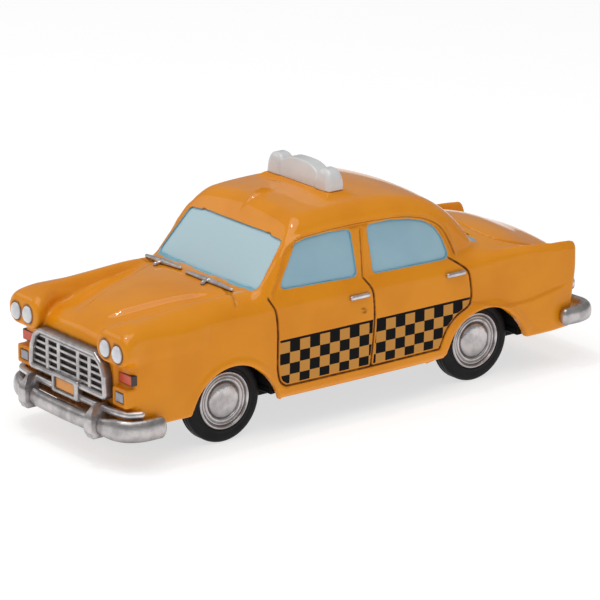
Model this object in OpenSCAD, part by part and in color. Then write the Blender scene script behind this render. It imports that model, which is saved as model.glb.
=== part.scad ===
// Toy taxi cab: a hollow cast body on a base plate, with two pressed wheel sets that roll.
// Millimetres. +Z is up, -Y is the front, +X is the cab's left side.
// The origin is on the ground, at the middle of the length and of the width.

/* [Overall] */
// Distance between the front and rear axles
wheelbase = 64; // [56:1:78]
// Body in front of the front axle, without the bumper
front_overhang = 25; // [22:0.5:30]
// Body behind the rear axle, without the bumper
rear_overhang = 25.1; // [22:0.1:31]
// Width of the body at its sides
body_w = 39; // [33:0.5:47]
// Height of the bottom edge of the sides
sill_z = 8.1; // [7:0.1:9]
// Height of the shoulder under the side windows
belt_z = 29.4; // [26:0.1:33]
// Height of the drip rails over the side windows
rail_z = 39.6; // [37:0.1:44]
// Height of the middle of the roof
roof_z = 44.5; // [43:0.1:50]
// Thickness of the cast shell
wall = 1.8; // [1.2:0.1:2.2]

/* [Cabin] */
// Foot of the windscreen, ahead of the middle
screen_foot = 25.6; // [22:0.1:28]
// Top of the windscreen, ahead of the middle
screen_top = 17.6; // [14:0.1:20]
// Top of the rear window, behind the middle
back_top = 24.6; // [22:0.1:27]
// Foot of the rear window, behind the middle
back_foot = 34.8; // [32:0.1:37]
// Width of the cabin at the belt
cabin_w = 36; // [30:0.1:37.5]
// Width of the cabin at the drip rails
rail_w = 33.2; // [28:0.1:35]
// Thickness of the window panes
pane_t = 1.0; // [0.7:0.1:1.2]
// How far a pane sits back from the body's surface
pane_inset = 0.25; // [0.1:0.05:0.4]

/* [Wheels] */
// Outer radius of the tyres
tyre_r = 8.75; // [8:0.05:9.5]
// Width of the tyres
tyre_w = 3.9; // [3:0.1:4.2]
// Distance between the outer faces of the two tyres on an axle
track_w = 32; // [29:0.1:33]
// Outer radius of the wheels, inside the tyres
wheel_r = 6.0; // [5:0.1:6.5]
// Radius of the axle rods
axle_r = 1.0; // [0.8:0.05:1.2]
// Radial running clearance of the axles in their bearings
axle_clearance = 0.05; // [0.02:0.01:0.1]
// Radius of the wheel arches
arch_r = 9.9; // [9.2:0.1:10.5]
// How far the centre of an arch lies below the axle
arch_drop = 1.9; // [1:0.1:2.5]

/* [Base plate] */
// Height of the pan's underside
pan_z = 5.95; // [5:0.05:6.2]
// Thickness of the base plate
pan_t = 1.3; // [1:0.1:1.6]
// Width of the pan between the wheels
pan_w = 22.6; // [18:0.1:23]
// Radius of the screws' heads
screw_head_r = 2.2; // [1.8:0.1:2.5]
// Radius of the plinth screw holes
plinth_hole_r = 1.25; // [1:0.05:1.5]
// Distance between the two plinth screw holes
plinth_pitch = 30; // [24:1:34]

/* [Front and rear] */
// Height of the bumper blades
bumper_h = 4.5; // [3.6:0.1:4.8]
// Height of the bumper blades' lower edges
bumper_z = 6.2; // [5.5:0.1:7]
// How far the front bumper stands out from the body
front_bumper_out = 4.0; // [3.6:0.1:5]
// How far the rear bumper stands out from the body
rear_bumper_out = 4.8; // [3.6:0.1:5.4]
// How far the bumper guards stand out from the front bumper
guard_out = 0.9; // [0.5:0.1:1.2]
// Width of the grille at its foot
grille_w = 27.4; // [24:0.1:28]
// Height of the grille
grille_h = 9.3; // [8:0.1:10]
// Number plate width
plate_w = 9; // [7:0.1:10]
// Number plate height
plate_h = 4.2; // [3:0.1:4.6]
// Thickness of the number plates
plate_t = 0.8; // [0.6:0.1:1]

/* [Roof sign] */
// Width of the sign, across the cab
sign_w = 20.4; // [17:0.1:24]
// Height of the sign's middle panel
sign_h = 5.2; // [4:0.1:7]
// Thickness of the sign
sign_t = 3.8; // [3:0.1:5]
// Height of the sign's plinth above the roof
plinth_h = 0.5; // [0.3:0.1:1]

/* [Hidden] */
$fn = 48;
SMOOTH = 24;
eps = 0.01;
seat_gap = 0.05;
axle_z = tyre_r;
half_w = body_w / 2;
nose_y = -(wheelbase / 2 + front_overhang);
tail_y = wheelbase / 2 + rear_overhang;
arch_z = axle_z - arch_drop;
deck_z = belt_z + 0.9;
pane_gap = 0.05;
seam_w = 0.45;
seam_depth = 0.55;
door_front_y = -21.2;
door_mid_y = 2.6;
door_rear_y = 27.6;
bearing_r = axle_r + axle_clearance;
pod_w = 9.2;
pod_h = 5.2;
pod_z = axle_z + 15.2;
pod_x = half_w - 0.1 - pod_w / 2;
pod_face_y = nose_y - 1.3;
parking_x = half_w - 2.8;
parking_z = axle_z + 5.9;

// ---- Shapes that repeat ----

// A child drawn on both sides of the cab
module both_sides() {
    children();
    mirror([1, 0, 0]) children();
}

// A closed skin over a list of rings with as many points each
module skin(rings) {
    n = len(rings[0]);
    last = len(rings) - 1;
    polyhedron(
        points = [for (ring = rings) each ring],
        faces = [
            [for (i = [0 : n - 1]) i],
            for (k = [0 : last - 1], i = [0 : n - 1])
                let (j = (i + 1) % n)
                [k * n + i, (k + 1) * n + i, (k + 1) * n + j, k * n + j],
            [for (i = [n - 1 : -1 : 0]) last * n + i]
        ]
    );
}

// A smooth value between b and c, with a before and d after, at t from 0 to 1
function blend(a, b, c, d, t) =
    b + 0.5 * t * (c - a + t * (2 * a - 5 * b + 4 * c - d + t * (3 * (b - c) + d - a)));

// Stations with steps smooth ones between each pair
function smooth_stations(list, steps) = [
    for (i = [0 : len(list) - 2], k = [0 : steps - 1])
        blend(list[max(i - 1, 0)], list[i], list[i + 1], list[min(i + 2, len(list) - 1)], k / steps),
    list[len(list) - 1]
];

// Points of an arc about [x, z], from one angle to another
function arc(x, z, r, from, to, steps) = [
    for (i = [0 : steps]) let (a = from + (to - from) * i / steps) [x + r * cos(a), z + r * sin(a)]
];

// Upright ring across the body at one station
function body_ring(s, shrink) =
    let (
        hw = s[1] - shrink, low = s[2] + shrink, high = s[3] - shrink,
        r_top = s[4] - shrink * 0.6, r_low = 1.6 - shrink * 0.6,
        half = concat(
            arc(hw - r_low, low + r_low, r_low, -90, 0, 3),
            arc(hw - r_top, high - r_top, r_top, 0, 90, 7)
        ),
        n = len(half)
    )
    [
        for (p = half) [-p[0], s[0], p[1]],
        for (i = [n - 1 : -1 : 0]) [half[i][0], s[0], half[i][1]]
    ];

// Stations of the lower body: [y, half width, bottom, top, radius of the top corners]
BODY_STATIONS = [
    [nose_y, half_w - 1.9, sill_z + 1.4, belt_z - 5.0, 3.0],
    [nose_y + 1.8, half_w - 0.5, sill_z + 0.4, belt_z - 3.2, 3.6],
    [nose_y + 9, half_w, sill_z, belt_z - 1.5, 4.2],
    [-screen_foot - 3, half_w, sill_z, belt_z + 0.1, 4.4],
    [-screen_foot + 3, half_w, sill_z, deck_z - 0.4, 4.4],
    [back_foot - 9, half_w, sill_z, deck_z - 0.2, 4.4],
    [back_foot + 5, half_w, sill_z, deck_z + 0.2, 4.6],
    [back_foot + 13, half_w - 0.2, sill_z, belt_z - 1.1, 4.6],
    [tail_y - 3.4, half_w - 0.4, sill_z + 0.3, belt_z - 3.6, 4.4],
    [tail_y, half_w - 1.3, sill_z + 1.6, belt_z - 6.5, 3.4]
];

// The lower body's outside, or a smaller copy of it with every side moved in
module lower_body(shrink = 0) {
    stations = smooth_stations(BODY_STATIONS, 2);
    inner = [for (s = stations) if (s[0] > nose_y + shrink && s[0] < tail_y - shrink) s];
    skin([for (s = shrink > 0 ? inner : stations) body_ring(s, shrink)]);
}

// Flat ring round the cabin at one height: a superellipse with its own reach forwards and backwards
function cabin_ring(z, hw, front, rear, power, count = 36) = [
    for (i = [0 : count - 1])
        let (
            a = 360 * (i + 0.5) / count, c = cos(a), s = sin(a),
            mid = (rear - front) / 2, reach = (rear + front) / 2
        )
        [sign(c) * hw * pow(abs(c), 2 / power), mid + sign(s) * reach * pow(abs(s), 2 / power), z]
];

// The cabin above the belt, or a smaller copy for the inside and for the panes
module cabin(shrink = 0) {
    crown = roof_z - rail_z;
    low_z = belt_z - 3;
    dome_steps = 6;
    skin([
        cabin_ring(low_z, cabin_w / 2 + 0.4 - shrink, screen_foot + 2 - shrink, back_foot + 3 - shrink, 9),
        for (i = [0 : dome_steps])
            let (a = 86 * i / dome_steps, out = cos(a))
            cabin_ring(
                rail_z + (crown - shrink) * sin(a),
                (rail_w / 2 - shrink) * out,
                (screen_top - shrink) * out,
                (back_top - shrink) * out,
                9 - 5.5 * i / dome_steps
            )
    ]);
}

// ---- Windows ----

// Side window outlines, as [y, z] corners
FRONT_DOOR_WINDOW = [
    [-20.2, belt_z + 0.8], [-14.6, rail_z - 1.6], [-12.4, rail_z - 0.9], [-1.8, rail_z - 1.0], [-0.8, belt_z + 0.2]
];
REAR_DOOR_WINDOW = [
    [3.2, belt_z + 0.2], [2.4, rail_z - 0.9], [14.6, rail_z - 1.6], [19, rail_z - 3.4], [23.2, belt_z + 0.2]
];
// Half of the windscreen and of the rear window, as [x, z] corners
SCREEN = [[16.9, belt_z + 1.3], [15.4, rail_z - 0.3]];
BACK = [[15.2, belt_z + 0.9], [13.6, rail_z - 2.2]];
// Thickness of the pillar between the windscreen and a front door window
pillar = 1.2;

module rounded_outline(points, r, grow) {
    offset(delta = grow)
        offset(r = r, $fn = SMOOTH)
            offset(delta = -r)
                polygon(points);
}

module side_aperture(points, grow) {
    rotate([90, 0, 90])
        linear_extrude(half_w)
            rounded_outline(points, 1.2, grow);
}

module end_aperture(corners, grow) {
    reach = 30;
    outline = [corners[0], corners[1], [-corners[1][0], corners[1][1]], [-corners[0][0], corners[0][1]]];
    rotate([90, 0, 0])
        linear_extrude(reach)
            rounded_outline(outline, 1.6, grow);
}

// The windscreen's aperture stops ahead of the door windows by a pillar's thickness
module screen_aperture(grow = 0) {
    low = FRONT_DOOR_WINDOW[0];
    high = FRONT_DOOR_WINDOW[1];
    rise = high - low;
    intersection() {
        translate([0, -8, 0]) end_aperture(SCREEN, grow);
        rotate([90, 0, 90])
            linear_extrude(body_w, center = true)
                polygon([
                    [-2 * wheelbase, 0], low - [pillar, 0] - 3 * rise, low - [pillar, 0] + 3 * rise,
                    [-2 * wheelbase, 3 * roof_z]
                ]);
    }
}

module back_aperture(grow = 0) {
    translate([0, 48, 0]) end_aperture(BACK, grow);
}

// A pane follows the cabin's surface and fills its aperture
module pane() {
    intersection() {
        difference() {
            cabin(pane_inset);
            cabin(pane_inset + pane_t);
        }
        children();
    }
}

module windscreen() {
    color("lightblue") pane() screen_aperture(-pane_gap);
}

module rear_window() {
    color("lightblue") pane() back_aperture(-pane_gap);
}

module front_door_window() {
    color("lightblue") pane() side_aperture(FRONT_DOOR_WINDOW, -pane_gap);
}

module rear_door_window() {
    color("lightblue") pane() side_aperture(REAR_DOOR_WINDOW, -pane_gap);
}

// ---- Body ----

// Ridge along the top of a front fender, behind the headlamp pod
module fender_ridge() {
    mid = [half_w - 4.6, nose_y + 14, belt_z - 3.0];
    hull() {
        translate([half_w - 4.4, nose_y + 3, belt_z - 4.9]) sphere(3.0, $fn = SMOOTH);
        translate(mid) sphere(3.2, $fn = SMOOTH);
    }
    hull() {
        translate(mid) sphere(3.2, $fn = SMOOTH);
        translate([half_w - 4.4, -screen_foot, belt_z - 1.9]) sphere(2.6, $fn = SMOOTH);
    }
}

// The hooded housing round a pair of headlamps
module headlamp_pod(grow = 0) {
    translate([pod_x, pod_face_y, pod_z])
        rotate([-90, 0, 0])
            hull() {
                for (s = [-1, 1])
                    translate([s * (pod_w - pod_h) / 2, 0, 0])
                        cylinder(h = 8, r = pod_h / 2 + grow, $fn = SMOOTH);
            }
}

// The square housing of a parking lamp
module parking_housing() {
    hull()
        for (dx = [-1, 1], dz = [-1, 1])
            translate([parking_x + dx * 1.7, nose_y - 0.9, parking_z + dz * 1.2])
                rotate([-90, 0, 0])
                    cylinder(h = 6, r = 0.8, $fn = SMOOTH);
}

// Raised middle of the bonnet
module bonnet() {
    hull() {
        for (s = [-1, 1]) {
            translate([s * 2.5, nose_y + 4.6, belt_z - 6.3]) sphere(2.8, $fn = SMOOTH);
            translate([s * 9, -screen_foot - 1, belt_z - 1.9]) sphere(2.8, $fn = SMOOTH);
        }
    }
}

// Tail fin along the top of a rear fender
module fin() {
    hull() {
        translate([half_w - 2.6, back_foot - 6, belt_z - 3.0]) sphere(2.2, $fn = SMOOTH);
        translate([half_w - 2.0, tail_y - 3.4, belt_z - 3.9]) sphere(1.7, $fn = SMOOTH);
        translate([half_w - 2.0, tail_y - 2.2, belt_z - 13]) sphere(1.7, $fn = SMOOTH);
    }
}

// Plinth under the roof sign
module sign_plinth() {
    hull() {
        translate([0, 0, roof_z - 1.6])
            linear_extrude(eps) offset(r = 1, $fn = SMOOTH) square([sign_w + 2.4, sign_t + 2], center = true);
        translate([0, 0, roof_z + plinth_h - eps])
            linear_extrude(eps) offset(r = 1, $fn = SMOOTH) square([sign_w - 0.4, sign_t - 0.4], center = true);
    }
}

// Flat outline of one closed seam line
module seam_outline(points) {
    difference() {
        rounded_outline(points, 2.5, seam_w / 2);
        rounded_outline(points, 2.5, -seam_w / 2);
    }
}

FRONT_DOOR = [
    [door_front_y + 2.4, sill_z + 1.4], [door_front_y, sill_z + 6], [door_front_y, belt_z - 3.4],
    [door_front_y - 2, belt_z], [door_mid_y - 1.8, belt_z], [door_mid_y, belt_z - 3.4], [door_mid_y, sill_z + 1.4]
];
REAR_DOOR = [
    [door_mid_y, sill_z + 1.4], [door_mid_y, belt_z - 3.4], [door_mid_y - 1.8, belt_z],
    [door_rear_y - 4, belt_z], [door_rear_y, belt_z - 5], [door_rear_y, arch_z + arch_r + 1.6],
    [door_rear_y - 5, arch_z + arch_r - 1], [door_rear_y - 7.4, sill_z + 1.4]
];

// Door seams, as deep as seam_depth at the widest part of the side
module door_seams() {
    translate([half_w - seam_depth, 0, 0])
        rotate([90, 0, 90])
            linear_extrude(seam_depth + 1) {
                seam_outline(FRONT_DOOR);
                seam_outline(REAR_DOOR);
            }
}

module wheel_arch(y) {
    translate([half_w - 4.6, y, arch_z])
        rotate([0, 90, 0])
            cylinder(h = 6, r = arch_r);
}

module body_shell() {
    color("orange")
        difference() {
            union() {
                lower_body();
                cabin();
                bonnet();
                sign_plinth();
                both_sides() {
                    fender_ridge();
                    headlamp_pod();
                    parking_housing();
                    fin();
                }
            }
            lower_body(wall);
            cabin(wall);
            // The shell is open below
            translate([0, (nose_y + tail_y) / 2, sill_z])
                cube([body_w - 2 * wall, tail_y - nose_y - 2 * wall - 2, 8], center = true);
            screen_aperture();
            back_aperture();
            both_sides() {
                side_aperture(FRONT_DOOR_WINDOW, 0);
                side_aperture(REAR_DOOR_WINDOW, 0);
                door_seams();
                for (y = [-wheelbase / 2, wheelbase / 2])
                    wheel_arch(y);
            }
        }
}

// ---- Base plate ----

flange_z = sill_z + 0.3;
flange_w = body_w - 2 * wall - 0.4;
sill_pan_w = flange_w - 8;
tub_r = arch_r + 0.3;
tub_wall = 1.2;
bearing_x = pan_w / 2 - 2.4;
bearing_top_z = axle_z + 3.1;
screw_y = 24.5;
screw_head_h = 0.9;
screw_recess = screw_head_h + seat_gap;
screw_clearance = 0.1;

module pan_outline(shrink) {
    offset(delta = -shrink)
        union() {
            square([pan_w, tail_y - nose_y - 14], center = true);
            square([sill_pan_w, wheelbase - 2 * tub_r - 2], center = true);
        }
}

module wheel_well() {
    for (y = [-wheelbase / 2, wheelbase / 2])
        translate([pan_w / 2, y, axle_z])
            rotate([0, 90, 0])
                cylinder(h = 10, r = tub_r);
}

module wheel_tub() {
    for (y = [-wheelbase / 2, wheelbase / 2])
        translate([pan_w / 2 - tub_wall, y, axle_z])
            rotate([0, 90, 0])
                cylinder(h = (flange_w - pan_w) / 2 + tub_wall, r = tub_r + tub_wall);
}

// The two blocks that carry one axle
module bearing(y) {
    size = [4, 5, bearing_top_z - pan_z - pan_t / 2];
    for (s = [-1, 1])
        translate([s * bearing_x, y, bearing_top_z - size[2] / 2])
            cube(size, center = true);
}

// Bosses over the screws' recesses
module screw_bosses() {
    for (y = [-screw_y, screw_y])
        translate([0, y, pan_z])
            cylinder(h = screw_recess + pan_t, r = screw_head_r + pan_t);
}

module base_plate() {
    color("dimgray")
        difference() {
            union() {
                difference() {
                    union() {
                        translate([0, 0, pan_z]) linear_extrude(flange_z + pan_t - pan_z) pan_outline(0);
                        translate([0, (nose_y + tail_y) / 2, flange_z + pan_t / 2])
                            cube([flange_w, tail_y - nose_y - 2 * wall - 2.6, pan_t], center = true);
                        both_sides() wheel_tub();
                    }
                    translate([0, 0, pan_z + pan_t]) linear_extrude(20) pan_outline(pan_t);
                    both_sides() wheel_well();
                    translate([-half_w, -100, -20]) cube([body_w, 200, 20 + pan_z]);
                }
                for (y = [-wheelbase / 2, wheelbase / 2])
                    bearing(y);
                screw_bosses();
            }
            for (y = [-screw_y, screw_y])
                translate([0, y, pan_z - 1])
                    cylinder(h = 1 + screw_recess, r = screw_head_r + screw_clearance);
            for (y = [-wheelbase / 2, wheelbase / 2])
                translate([0, y, axle_z])
                    rotate([0, 90, 0])
                        cylinder(h = body_w, r = bearing_r, center = true);
            for (y = [-plinth_pitch / 2, plinth_pitch / 2])
                translate([0, y, pan_z - 1])
                    cylinder(h = pan_t + 2, r = plinth_hole_r);
        }
}

// Screw heads, seated in their recesses and flush with the pan
module base_screws() {
    color("silver")
        for (y = [-screw_y, screw_y])
            translate([0, y, pan_z])
                cylinder(h = screw_head_h, r = screw_head_r);
}

// ---- Front ----

module grille_outline(shrink) {
    offset(delta = -shrink)
        hull() {
            for (s = [-1, 1]) {
                translate([s * (grille_w / 2 - 3.8), grille_h - 3.8]) circle(3.8);
                translate([s * (grille_w / 2 - 0.6), 0.6]) circle(0.6);
            }
        }
}

grille_z = axle_z + 4.5;
grille_t = 1.4;

module grille() {
    bars_x = [-7.4, -3.4, 3.4, 7.4];
    bar_w = 1;
    slat_h = 0.6;
    slat_pitch = 1.3;
    frame_w = 1.3;
    color("silver")
        difference() {
            translate([0, nose_y - seat_gap, grille_z])
                rotate([90, 0, 0]) {
                    linear_extrude(grille_t)
                        difference() {
                            grille_outline(0);
                            grille_outline(frame_w);
                        }
                    linear_extrude(grille_t / 2) grille_outline(frame_w / 2);
                    for (x = bars_x)
                        translate([x - bar_w / 2, frame_w / 2, 0])
                            cube([bar_w, grille_h - frame_w, grille_t * 0.9]);
                    for (z = [frame_w + slat_h : slat_pitch : grille_h - 2 * frame_w])
                        translate([-grille_w / 2 + frame_w, z, 0])
                            cube([grille_w - 2 * frame_w, slat_h, grille_t * 0.75]);
                }
            both_sides() headlamp_pod(seat_gap);
        }
}

// A bar bent round the front or rear in plan: a bowed face and two ends that run along the sides
module wrap_bar(face_y, hw, r, side_run, thick, low, high) {
    dir = sign(face_y);
    translate([0, 0, low])
        linear_extrude(high - low)
            intersection() {
                difference() {
                    wrap_outline(face_y, hw, r);
                    wrap_outline(face_y - dir * thick, hw - thick, r - thick);
                }
                translate([0, face_y - dir * side_run / 2]) square([3 * hw, side_run], center = true);
            }
}

module wrap_outline(face_y, hw, r) {
    dir = sign(face_y);
    bow = 1.6;
    hull() {
        for (s = [-1, 1])
            translate([s * (hw - r), face_y - dir * (r + bow)]) circle(r);
        translate([0, face_y - dir * 1.5]) scale([hw / 2.6, 1]) circle(1.5);
        translate([0, face_y - dir * 30]) square([2 * hw, 1], center = true);
    }
}

front_face_y = nose_y - front_bumper_out;
rear_face_y = tail_y + rear_bumper_out;
blade_t = 2.2;
blade_half_w = half_w + blade_t + seat_gap;
blade_r = 4.6;
rear_bumper_z = bumper_z + 3;

module front_bumper() {
    color("silver")
        wrap_bar(front_face_y, blade_half_w, blade_r, 13, blade_t, bumper_z, bumper_z + bumper_h);
}

module rear_bumper() {
    color("silver")
        wrap_bar(rear_face_y, blade_half_w, blade_r, 11, blade_t, rear_bumper_z, rear_bumper_z + bumper_h);
}

rail_face_y = front_face_y + 1;
rail_t = 1.3;
rail_h = 1.4;
rail_half_w = half_w + rail_t + seat_gap;
rail_r = 3.6;
rail_z_low = bumper_z + bumper_h + 0.4;

module front_bumper_rail() {
    color("silver")
        wrap_bar(rail_face_y, rail_half_w, rail_r, 8, rail_t, rail_z_low, rail_z_low + rail_h);
}

// Two upright guards, notched to seat on the blade and on the rail
module bumper_guards() {
    guard_r = 1.4;
    guard_x = 11.6;
    color("silver")
        both_sides()
            difference() {
                translate([guard_x, front_face_y - guard_out + guard_r, bumper_z - 0.4])
                    cylinder(h = rail_z_low + rail_h + 0.3 - bumper_z + 0.4, r = guard_r);
                translate([0, 0, bumper_z - 1])
                    linear_extrude(rail_z_low - seat_gap - bumper_z + 1)
                        offset(delta = seat_gap) wrap_outline(front_face_y, blade_half_w, blade_r);
                translate([0, 0, rail_z_low - 2 * seat_gap])
                    linear_extrude(10)
                        offset(delta = seat_gap) wrap_outline(rail_face_y, rail_half_w, rail_r);
            }
}

// The front number plate, seated on the rail's face
module front_plate() {
    color("silver")
        translate([-plate_w / 2, rail_face_y - seat_gap - plate_t, rail_z_low - 0.4])
            cube([plate_w, plate_t, plate_h]);
}

module rear_plate() {
    color("silver")
        translate([-plate_w / 2, tail_y + seat_gap, axle_z + 7])
            cube([plate_w, plate_t, plate_h]);
}

// ---- Lamps ----

lamp_pitch = 4.3;
lamp_w = 3.2;

module headlamps() {
    color("white")
        both_sides()
            for (s = [-1, 1])
                translate([pod_x + s * lamp_pitch / 2, pod_face_y - seat_gap, pod_z])
                    rotate([90, 0, 0])
                        cylinder(h = 1.1, r = lamp_w / 2);
}

module turn_lamps() {
    color("orangered")
        both_sides()
            translate([grille_w / 2 + 0.5, nose_y - seat_gap - 0.7, axle_z + 8.4])
                cube([3.5, 0.7, 2.2]);
}

module parking_lamps() {
    color("lightgray")
        both_sides()
            translate([parking_x, nose_y - 0.9 - seat_gap, parking_z])
                rotate([90, 0, 0])
                    cylinder(h = 0.6, r = 1.1);
}

module tail_lamps() {
    color("red")
        both_sides()
            translate([half_w - 2.2, tail_y + 0.2, axle_z + 10.5])
                rotate([-90, 0, 0])
                    cylinder(h = 1.2, r = 1.3);
}

// ---- Trim ----

module wipers() {
    color("silver")
        for (x = [-8, 8])
            translate([x, -screen_foot - 2.2, deck_z + 0.8])
                rotate([0, -8, 20])
                    cube([11, 0.6, 0.6], center = true);
}

module door_handle(y) {
    translate([half_w + 0.35, y, belt_z - 4.2])
        cube([0.6, 4.6, 1], center = true);
}

module door_handles() {
    color("silver")
        both_sides() {
            door_handle(-1.2);
            door_handle(23.6);
        }
}

module roof_sign() {
    base_z = roof_z + plinth_h + seat_gap;
    color("white")
        translate([0, sign_t / 2 - 0.8, base_z])
            rotate([90, 0, 0])
                linear_extrude(sign_t - 1.6)
                    union() {
                        hull() {
                            for (s = [-1, 1]) {
                                translate([s * 4.6, sign_h - 1.2]) circle(1.2);
                                translate([s * 6.8, 0.3]) circle(0.3);
                            }
                        }
                        hull() {
                            for (s = [-1, 1]) {
                                translate([s * (sign_w / 2 - 3.2), sign_h - 2.6]) circle(1.8);
                                translate([s * (sign_w / 2 - 1.6), 0.3]) circle(0.3);
                            }
                        }
                    }
}

// ---- Wheel sets ----

module axle(y) {
    color("gray")
        translate([0, y, axle_z])
            rotate([0, 90, 0])
                cylinder(h = track_w - 1.6, r = axle_r, center = true);
}

// A tyre on the left side, its outer face at half the track
module tyre(y) {
    shoulder = 0.9;
    color("black")
        translate([track_w / 2, y, axle_z])
            rotate([0, -90, 0])
                rotate_extrude()
                    polygon([
                        [wheel_r, 0.3], [wheel_r + 0.5, 0], [tyre_r - shoulder, 0.2], [tyre_r, shoulder],
                        [tyre_r, tyre_w - shoulder], [tyre_r - shoulder, tyre_w - 0.2],
                        [wheel_r, tyre_w - 0.2]
                    ]);
}

// A wheel inside its tyre, with a domed centre and a stepped cover
module wheel(y) {
    color("silver")
        translate([track_w / 2, y, axle_z])
            rotate([0, -90, 0])
                rotate_extrude()
                    polygon([
                        [axle_r, 0.8], [0, 0.8], [0, -0.3], [1.2, -0.2], [2.1, 0.3], [2.4, 0.6], [3.8, 0.5],
                        [4.6, 0.1], [5.4, 0.1], [wheel_r, 0.5], [wheel_r, tyre_w - 0.3],
                        [wheel_r - 0.8, tyre_w - 0.3], [wheel_r - 0.8, 2], [axle_r + 1.2, 2],
                        [axle_r + 1.2, tyre_w + 0.4], [axle_r, tyre_w + 0.4]
                    ]);
}

front_y = -wheelbase / 2;
rear_y = wheelbase / 2;

body_shell();
base_plate();
base_screws();
windscreen();
rear_window();
front_door_window();  // front_door_window_left
mirror([1, 0, 0]) front_door_window();  // front_door_window_right
rear_door_window();  // rear_door_window_left
mirror([1, 0, 0]) rear_door_window();  // rear_door_window_right
grille();
front_bumper();
front_bumper_rail();
bumper_guards();
front_plate();
rear_bumper();
rear_plate();
headlamps();
turn_lamps();
parking_lamps();
tail_lamps();
wipers();
door_handles();
roof_sign();
axle(front_y);  // front_axle
axle(rear_y);  // rear_axle
tyre(front_y);  // tyre_front_left
mirror([1, 0, 0]) tyre(front_y);  // tyre_front_right
tyre(rear_y);  // tyre_rear_left
mirror([1, 0, 0]) tyre(rear_y);  // tyre_rear_right
wheel(front_y);  // wheel_front_left
mirror([1, 0, 0]) wheel(front_y);  // wheel_front_right
wheel(rear_y);  // wheel_rear_left
mirror([1, 0, 0]) wheel(rear_y);  // wheel_rear_right
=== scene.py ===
"""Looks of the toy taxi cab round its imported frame: casting, panes, trim, lamps, sign, wheels and base.

Lengths are in millimetres up to the point where a mesh is made. -Y is the front, +X the cab's left side.
"""
import functools
import math

import bpy
import numpy as np
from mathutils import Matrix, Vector


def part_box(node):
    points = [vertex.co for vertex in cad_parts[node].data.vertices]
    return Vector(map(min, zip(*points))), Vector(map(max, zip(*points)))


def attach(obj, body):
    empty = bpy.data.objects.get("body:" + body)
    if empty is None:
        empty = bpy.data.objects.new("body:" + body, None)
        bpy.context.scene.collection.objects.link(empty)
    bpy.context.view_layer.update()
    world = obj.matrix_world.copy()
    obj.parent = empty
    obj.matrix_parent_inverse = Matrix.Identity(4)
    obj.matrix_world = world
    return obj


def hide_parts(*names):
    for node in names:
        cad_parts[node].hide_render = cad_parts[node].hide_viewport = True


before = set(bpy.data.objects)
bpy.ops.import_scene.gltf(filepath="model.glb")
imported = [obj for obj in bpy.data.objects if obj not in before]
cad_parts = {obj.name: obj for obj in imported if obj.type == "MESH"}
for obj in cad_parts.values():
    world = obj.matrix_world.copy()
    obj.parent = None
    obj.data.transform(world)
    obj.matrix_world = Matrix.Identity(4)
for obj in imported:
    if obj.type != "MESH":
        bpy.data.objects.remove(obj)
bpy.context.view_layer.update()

MM = 0.001


def box_mm(node):
    """Lowest and highest corner of a CAD node, in millimetres."""
    low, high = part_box(node)
    return np.array(low) / MM, np.array(high) / MM


# ---- Sizes, from the frame ----

BODY_LOW, BODY_HIGH = box_mm("body_shell")
TYRE_LOW, TYRE_HIGH = box_mm("tyre_front_left")
REAR_TYRE_LOW, REAR_TYRE_HIGH = box_mm("tyre_rear_left")
GRILLE_BACK = box_mm("grille")[1][1]
BLADE_END = box_mm("front_bumper")[1][0]
HALF_W = BODY_HIGH[0]
AXLE_Z = (TYRE_LOW[2] + TYRE_HIGH[2]) / 2
TYRE_R = (TYRE_HIGH[2] - TYRE_LOW[2]) / 2
AXLES_Y = [(TYRE_LOW[1] + TYRE_HIGH[1]) / 2, (REAR_TYRE_LOW[1] + REAR_TYRE_HIGH[1]) / 2]
TYRE_FACE = TYRE_HIGH[0]
TYRE_W = TYRE_HIGH[0] - TYRE_LOW[0]
NOSE = GRILLE_BACK + 0.05
TAIL = BODY_HIGH[1]
SILL = BODY_LOW[2]
PLINTH_TOP = BODY_HIGH[2]


# ---- Distances and profiles ----


def round_max(a, b, r):
    """What two forms share, with the edge between them rounded to r."""
    inner = np.minimum(-r, np.maximum(a, b))
    return inner + np.hypot(np.maximum(a + r, 0), np.maximum(b + r, 0))


def round_min(a, b, r):
    """Two forms joined, with a fillet of r between them."""
    return -round_max(-a, -b, r)


def soft_min(a, b, reach):
    """Two forms joined with a soft blend."""
    near = np.maximum(reach - np.abs(a - b), 0) / reach
    return np.minimum(a, b) - near * near * reach / 4


def soft_max(a, b, reach):
    return -soft_min(-a, -b, reach)


def step(value, low, high):
    """0 below low, 1 above high, smooth between."""
    t = np.clip((value - low) / (high - low), 0, 1)
    return t * t * (3 - 2 * t)


def bell(distance, width):
    return np.exp(-((distance / width) ** 2))


def curve(t, points):
    """A smooth line through (t, value) points, level beyond its ends."""
    at, value = np.array(points, float).T
    slope = np.gradient(value, at)
    t = np.clip(t, at[0], at[-1])
    i = np.clip(np.searchsorted(at, t, side="right") - 1, 0, len(at) - 2)
    span = at[i + 1] - at[i]
    s = (t - at[i]) / span
    rise = s * s * (3 - 2 * s)
    bend = s * (1 - s) ** 2 * slope[i] - s * s * (1 - s) * slope[i + 1]
    return value[i] * (1 - rise) + value[i + 1] * rise + bend * span


def nearest(distances):
    return functools.reduce(np.minimum, distances)


def to_segment(u, v, start, end):
    """Distance to the straight line between two points."""
    eu, ev = end[0] - start[0], end[1] - start[1]
    wu, wv = u - start[0], v - start[1]
    t = np.clip((wu * eu + wv * ev) / (eu * eu + ev * ev), 0, 1)
    return np.hypot(wu - eu * t, wv - ev * t)


def trace(u, v, points):
    """Distance to an open line through points."""
    return nearest(to_segment(u, v, p, q) for p, q in zip(points, points[1:]))


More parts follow.
